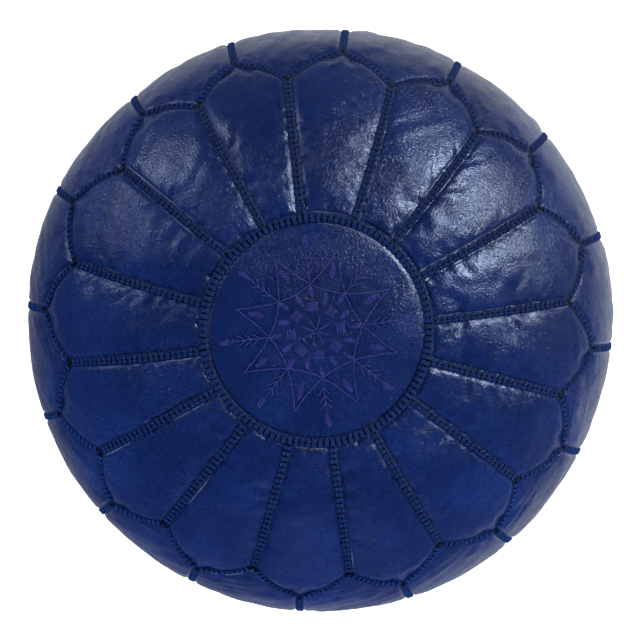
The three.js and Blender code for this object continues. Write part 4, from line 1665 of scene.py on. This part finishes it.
# ------------------------------------------------------------------ inside
@dataclass
class Filling:
    """The canvas liner and the fibre inside it, both drawn in under the cover."""

    cover: Cover
    canvas: Material
    fibre: Material
    liner_depth: float = 5.4 * MM  # from the leather's surface to the liner's
    canvas_thickness: float = 0.9 * MM
    fibre_gap: float = 0.6 * MM
    lumps: float = 3.0 * MM
    dish: tuple[float, float] = (106 * MM, 10.9 * MM)
    headroom: float = 14.2 * MM
    mouth: tuple[float, float] = (92.5 * MM, 8.0 * MM)
    around: int = 192

    def _rings(self, depth: float, wrinkles: float, size: float) -> Array:
        """Return rings of points under the cover, from the top's middle to the base ring."""
        s = np.linspace(1.5 * MM, self.cover.plan.base_ring_s, 110)
        angle = 2 * math.pi * np.arange(self.around) / self.around
        s, angle = np.meshgrid(s, angle, indexing="ij")
        flat = np.stack([s / size, angle * 0.25 / size, 0 * s], -1)
        flat[..., 1] = np.abs(flat[..., 1] - flat[..., 1].max() / 2)
        sunk = wrinkles * (self.cover.noise.at(flat, 1.0) - 1.0) / 2
        return self.cover.place(s, angle, -depth + sunk)

    def _flat_ring(self, radius: float, height: float) -> Array:
        """Return one round ring."""
        angle = 2 * math.pi * np.arange(self.around) / self.around
        return polar(np.full_like(angle, radius), angle, height)[None]

    def _mouth_ring(self, height: float) -> Array:
        """Return the long rounded opening over the zip."""
        angle = 2 * math.pi * np.arange(self.around) / self.around
        x = self.mouth[0] * np.sign(np.cos(angle)) * np.sqrt(np.abs(np.cos(angle)))
        y = self.mouth[1] * np.sign(np.sin(angle)) * np.sqrt(np.abs(np.sin(angle)))
        return np.stack([x, y, np.full_like(x, height)], -1)[None]

    def build_liner(self) -> None:
        """Make the liner as a closed shell with its mouth over the zip."""
        radius, height = self.dish
        share = np.linspace(0.0, 1.0, 12)[:, None, None]

        def face(depth: float, lift: float) -> Array:
            """Return one face of the canvas, from the top's middle to the mouth."""
            rim = self._flat_ring(radius, height + lift)
            return np.concatenate([
                self._rings(depth, 0.8 * MM, 0.016),
                lerp(rim, self._mouth_ring(height + lift), share),
            ])

        outer = face(self.liner_depth, 0.0)
        inner = face(self.liner_depth + self.canvas_thickness, self.canvas_thickness)
        piece = lathe_object("liner_bag", np.concatenate([outer, inner[::-1]]))
        dress(piece, self.canvas, "liner_canvas", "inner_liner")

    def build_stuffing(self) -> None:
        """Make the fibre filling, lumpy on its outside and dished over the zip."""
        depth = self.liner_depth + self.canvas_thickness + self.fibre_gap
        rings = self._rings(depth, self.lumps, 0.035)
        steps = np.linspace(0.0, 1.0, 24)[:, None, None]
        rim = self._flat_ring(self.dish[0] - 3 * MM, self.headroom)
        floor = lerp(rim, self._flat_ring(2 * MM, self.headroom), steps)
        floor[..., 2] += 0.8 * MM * (1.0 + self.cover.noise.at(floor, 0.02))
        piece = lathe_object("stuffing_fibre", np.concatenate([rings, floor]))
        dress(piece, self.fibre, "stuffing_fibre", "stuffing")


# ------------------------------------------------------------------ studio
class Role(Enum):
    """What a lamp does."""

    GLEAM = "shows only as a highlight"
    SOFT = "lights without a highlight"


@dataclass(frozen=True)
class Lamp:
    """One soft lamp, aimed at the pouf."""

    name: str
    bearing: float  # degrees round from the direction that is up in the view
    elevation: float
    distance: float
    size: float
    power: float
    role: Role


class Studio:
    """A pale floor, soft lamps and a camera nearly straight overhead."""

    UP_ANGLE = math.radians(83.2)  # the direction round Z that is up in the view
    TILT_UP = math.radians(3.0)
    TILT_RIGHT = math.radians(1.0)
    DISTANCE = 2.2
    LENS = 134.6
    AIM = Vector((0.0, 0.0, 0.150))
    FLOOR_HALF = 40.0
    TABLE = 1.0  # how bright the room is, seen straight down, level and straight up
    WALLS = 0.20
    CEILING = 0.05
    BRIGHT_SIDE = 50.0  # degrees, back from the direction that is up in the view
    AWAY = 0.25  # how bright the room is on the far side, as a share
    TOWARDS = 1.15
    FLOOR_GLOW = 0.70
    LAMPS = (
        Lamp("key_gleam", -52.0, 38.0, 2.4, 0.90, 88.0, Role.GLEAM),
        Lamp("fill_gleam", 52.0, 22.0, 2.6, 0.7, 17.0, Role.GLEAM),
        Lamp("right_lamp", -75.0, 24.0, 2.6, 1.2, 56.0, Role.SOFT),
        Lamp("left_lamp", 60.0, 22.0, 2.6, 1.2, 58.0, Role.SOFT),
        Lamp("low_lamp", 178.0, 18.0, 2.6, 1.4, 82.0, Role.SOFT),
    )

    def _direction(self, bearing: float, elevation: float) -> Vector:
        """Return the unit direction from the pouf at a bearing and elevation, in degrees."""
        angle = self.UP_ANGLE + math.radians(bearing)
        height = math.radians(elevation)
        level = math.cos(height)
        return Vector((math.cos(angle) * level, math.sin(angle) * level, math.sin(height)))

    def build_floor(self) -> None:
        """Lay a plain pale floor, which glows a little as a lit white table does."""
        half = self.FLOOR_HALF
        corners = half * np.array([[-1.0, -1, 0], [1, -1, 0], [1, 1, 0], [-1, 1, 0]])
        floor = mesh_object("pale_floor", corners, [np.array([[0, 1, 2, 3]])])
        s = Shader("pale_floor_paint")
        s.set(Base_Color=(0.9, 0.9, 0.9, 1.0), Roughness=0.9)
        s.set(Emission_Color=(1.0, 1.0, 1.0, 1.0), Emission_Strength=self.FLOOR_GLOW)
        floor.data.materials.append(s.material)
        floor.visible_diffuse = False
        floor.visible_glossy = False

    def build_lamps(self) -> None:
        """Hang the lamps and set the room's soft light."""
        for lamp in self.LAMPS:
            data = bpy.data.lights.new(lamp.name, "AREA")
            data.shape, data.size, data.energy = "DISK", lamp.size, lamp.power
            made = bpy.data.objects.new(lamp.name, data)
            way = self._direction(lamp.bearing, lamp.elevation)
            made.location = self.AIM + way * lamp.distance
            made.rotation_mode = "QUATERNION"
            made.rotation_quaternion = way.to_track_quat("Z", "Y")
            made.visible_glossy = lamp.role is Role.GLEAM
            made.visible_diffuse = lamp.role is Role.SOFT
            bpy.context.scene.collection.objects.link(made)
        self._build_room()

    def _build_room(self) -> None:
        """Set the room's light: pale table, dim walls, dimmer ceiling, brighter towards one side."""
        world = bpy.data.worlds.new("soft_room")
        world.use_nodes = True
        tree = world.node_tree
        sky = tree.nodes["Background"]
        sky.inputs["Color"].default_value = (0.93, 0.96, 1.0, 1.0)
        way = tree.nodes.new("ShaderNodeTexCoord").outputs["Generated"]

        def facing(direction: Vector) -> Socket:
            """Return how nearly the way looked faces a direction."""
            made = tree.nodes.new("ShaderNodeVectorMath")
            made.operation = "DOT_PRODUCT"
            made.inputs[1].default_value = direction
            tree.links.new(way, made.inputs[0])
            return made.outputs["Value"]

        def eased(value: Socket, *settings: float) -> Socket:
            """Return the value eased from one span (its first two settings) to another."""
            made = tree.nodes.new("ShaderNodeMapRange")
            made.interpolation_type = "SMOOTHSTEP"
            tree.links.new(value, made.inputs["Value"])
            for name, number in zip(("From Min", "From Max", "To Min", "To Max"), settings):
                made.inputs[name].default_value = number
            return made.outputs["Result"]

        def times(
            first: Socket, second: Socket
        ) -> Socket:
            """Return the product."""
            made = tree.nodes.new("ShaderNodeMath")
            made.operation = "MULTIPLY"
            tree.links.new(first, made.inputs[0])
            tree.links.new(second, made.inputs[1])
            return made.outputs["Value"]

        height = facing(Vector((0.0, 0.0, 1.0)))
        below = eased(height, -0.80, -0.20, self.TABLE, self.WALLS)
        above = eased(height, 0.0, 0.55, 1.0, self.CEILING / self.WALLS)
        towards = facing(self._direction(-self.BRIGHT_SIDE, 0.0))
        side = eased(towards, -0.8, 0.8, self.AWAY, self.TOWARDS)
        tree.links.new(times(times(below, above), side), sky.inputs["Strength"])
        bpy.context.scene.world = world
        bpy.context.scene.view_settings.view_transform = "Standard"

    def build_camera(self) -> None:
        """Set the camera up."""
        up = Vector((math.cos(self.UP_ANGLE), math.sin(self.UP_ANGLE), 0.0))
        right = Vector((up.y, -up.x, 0.0))
        back = Vector((0.0, 0.0, 1.0)) + up * math.tan(self.TILT_UP)
        back = back + right * math.tan(self.TILT_RIGHT)
        back.normalize()
        over = up.cross(back).normalized()
        above = back.cross(over)
        data = bpy.data.cameras.new("overhead_camera")
        data.lens, data.sensor_width, data.clip_end = self.LENS, 36.0, 50.0
        made = bpy.data.objects.new("overhead_camera", data)
        turn = Matrix((over, above, back)).transposed().to_4x4()
        made.matrix_world = Matrix.Translation(self.AIM + back * self.DISTANCE) @ turn
        bpy.context.scene.collection.objects.link(made)
        bpy.context.scene.camera = made

    def build(self) -> None:
        """Make the whole studio."""
        self.build_floor()
        self.build_lamps()
        self.build_camera()


def main() -> None:
    """Build the pouf class by class, then the studio."""
    logging.basicConfig(level=logging.INFO, format="%(name)s %(message)s")
    curve = BodyCurve(BODY_RADIUS, BODY_HEIGHT)
    plan = SeamPlan(curve)
    cover = Cover(curve, plan)
    leather = LeatherFinish().build()
    # Each thread's first colour is painted shade, laid in the grooves between its plies.
    thread = ThreadFinish("seam_thread", (0.0020, 0.0080, 0.050), (0.018, 0.066, 0.32)).build()
    violet = ThreadFinish("embroidery_thread", (0.026, 0.035, 0.20), (0.102, 0.122, 0.62)).build()
    canvas = WovenFinish("liner_canvas", (0.36, 0.33, 0.27), (0.62, 0.58, 0.49)).build()
    tape = WovenFinish("zip_tape", (0.006, 0.010, 0.035), (0.016, 0.027, 0.09), threads=2600.0).build()
    fibre = WovenFinish("stuffing_fibre", (0.50, 0.49, 0.46), (0.78, 0.77, 0.74), threads=300.0).build()
    metal = MetalFinish().build()

    panels = LeatherCover(cover, leather)
    softness = StuffingTrial(cover).run(panels.panels)
    panels.build(softness)
    Stitching(cover, thread).build()
    medallion = Medallion(cover, leather, violet)
    medallion.build_leather()
    medallion.build_embroidery()
    ZippedBase(cover, leather, thread, tape, metal).build()
    filling = Filling(cover, canvas, fibre)
    filling.build_liner()
    filling.build_stuffing()
    Studio().build()


if __name__ == "__main__":
    main()
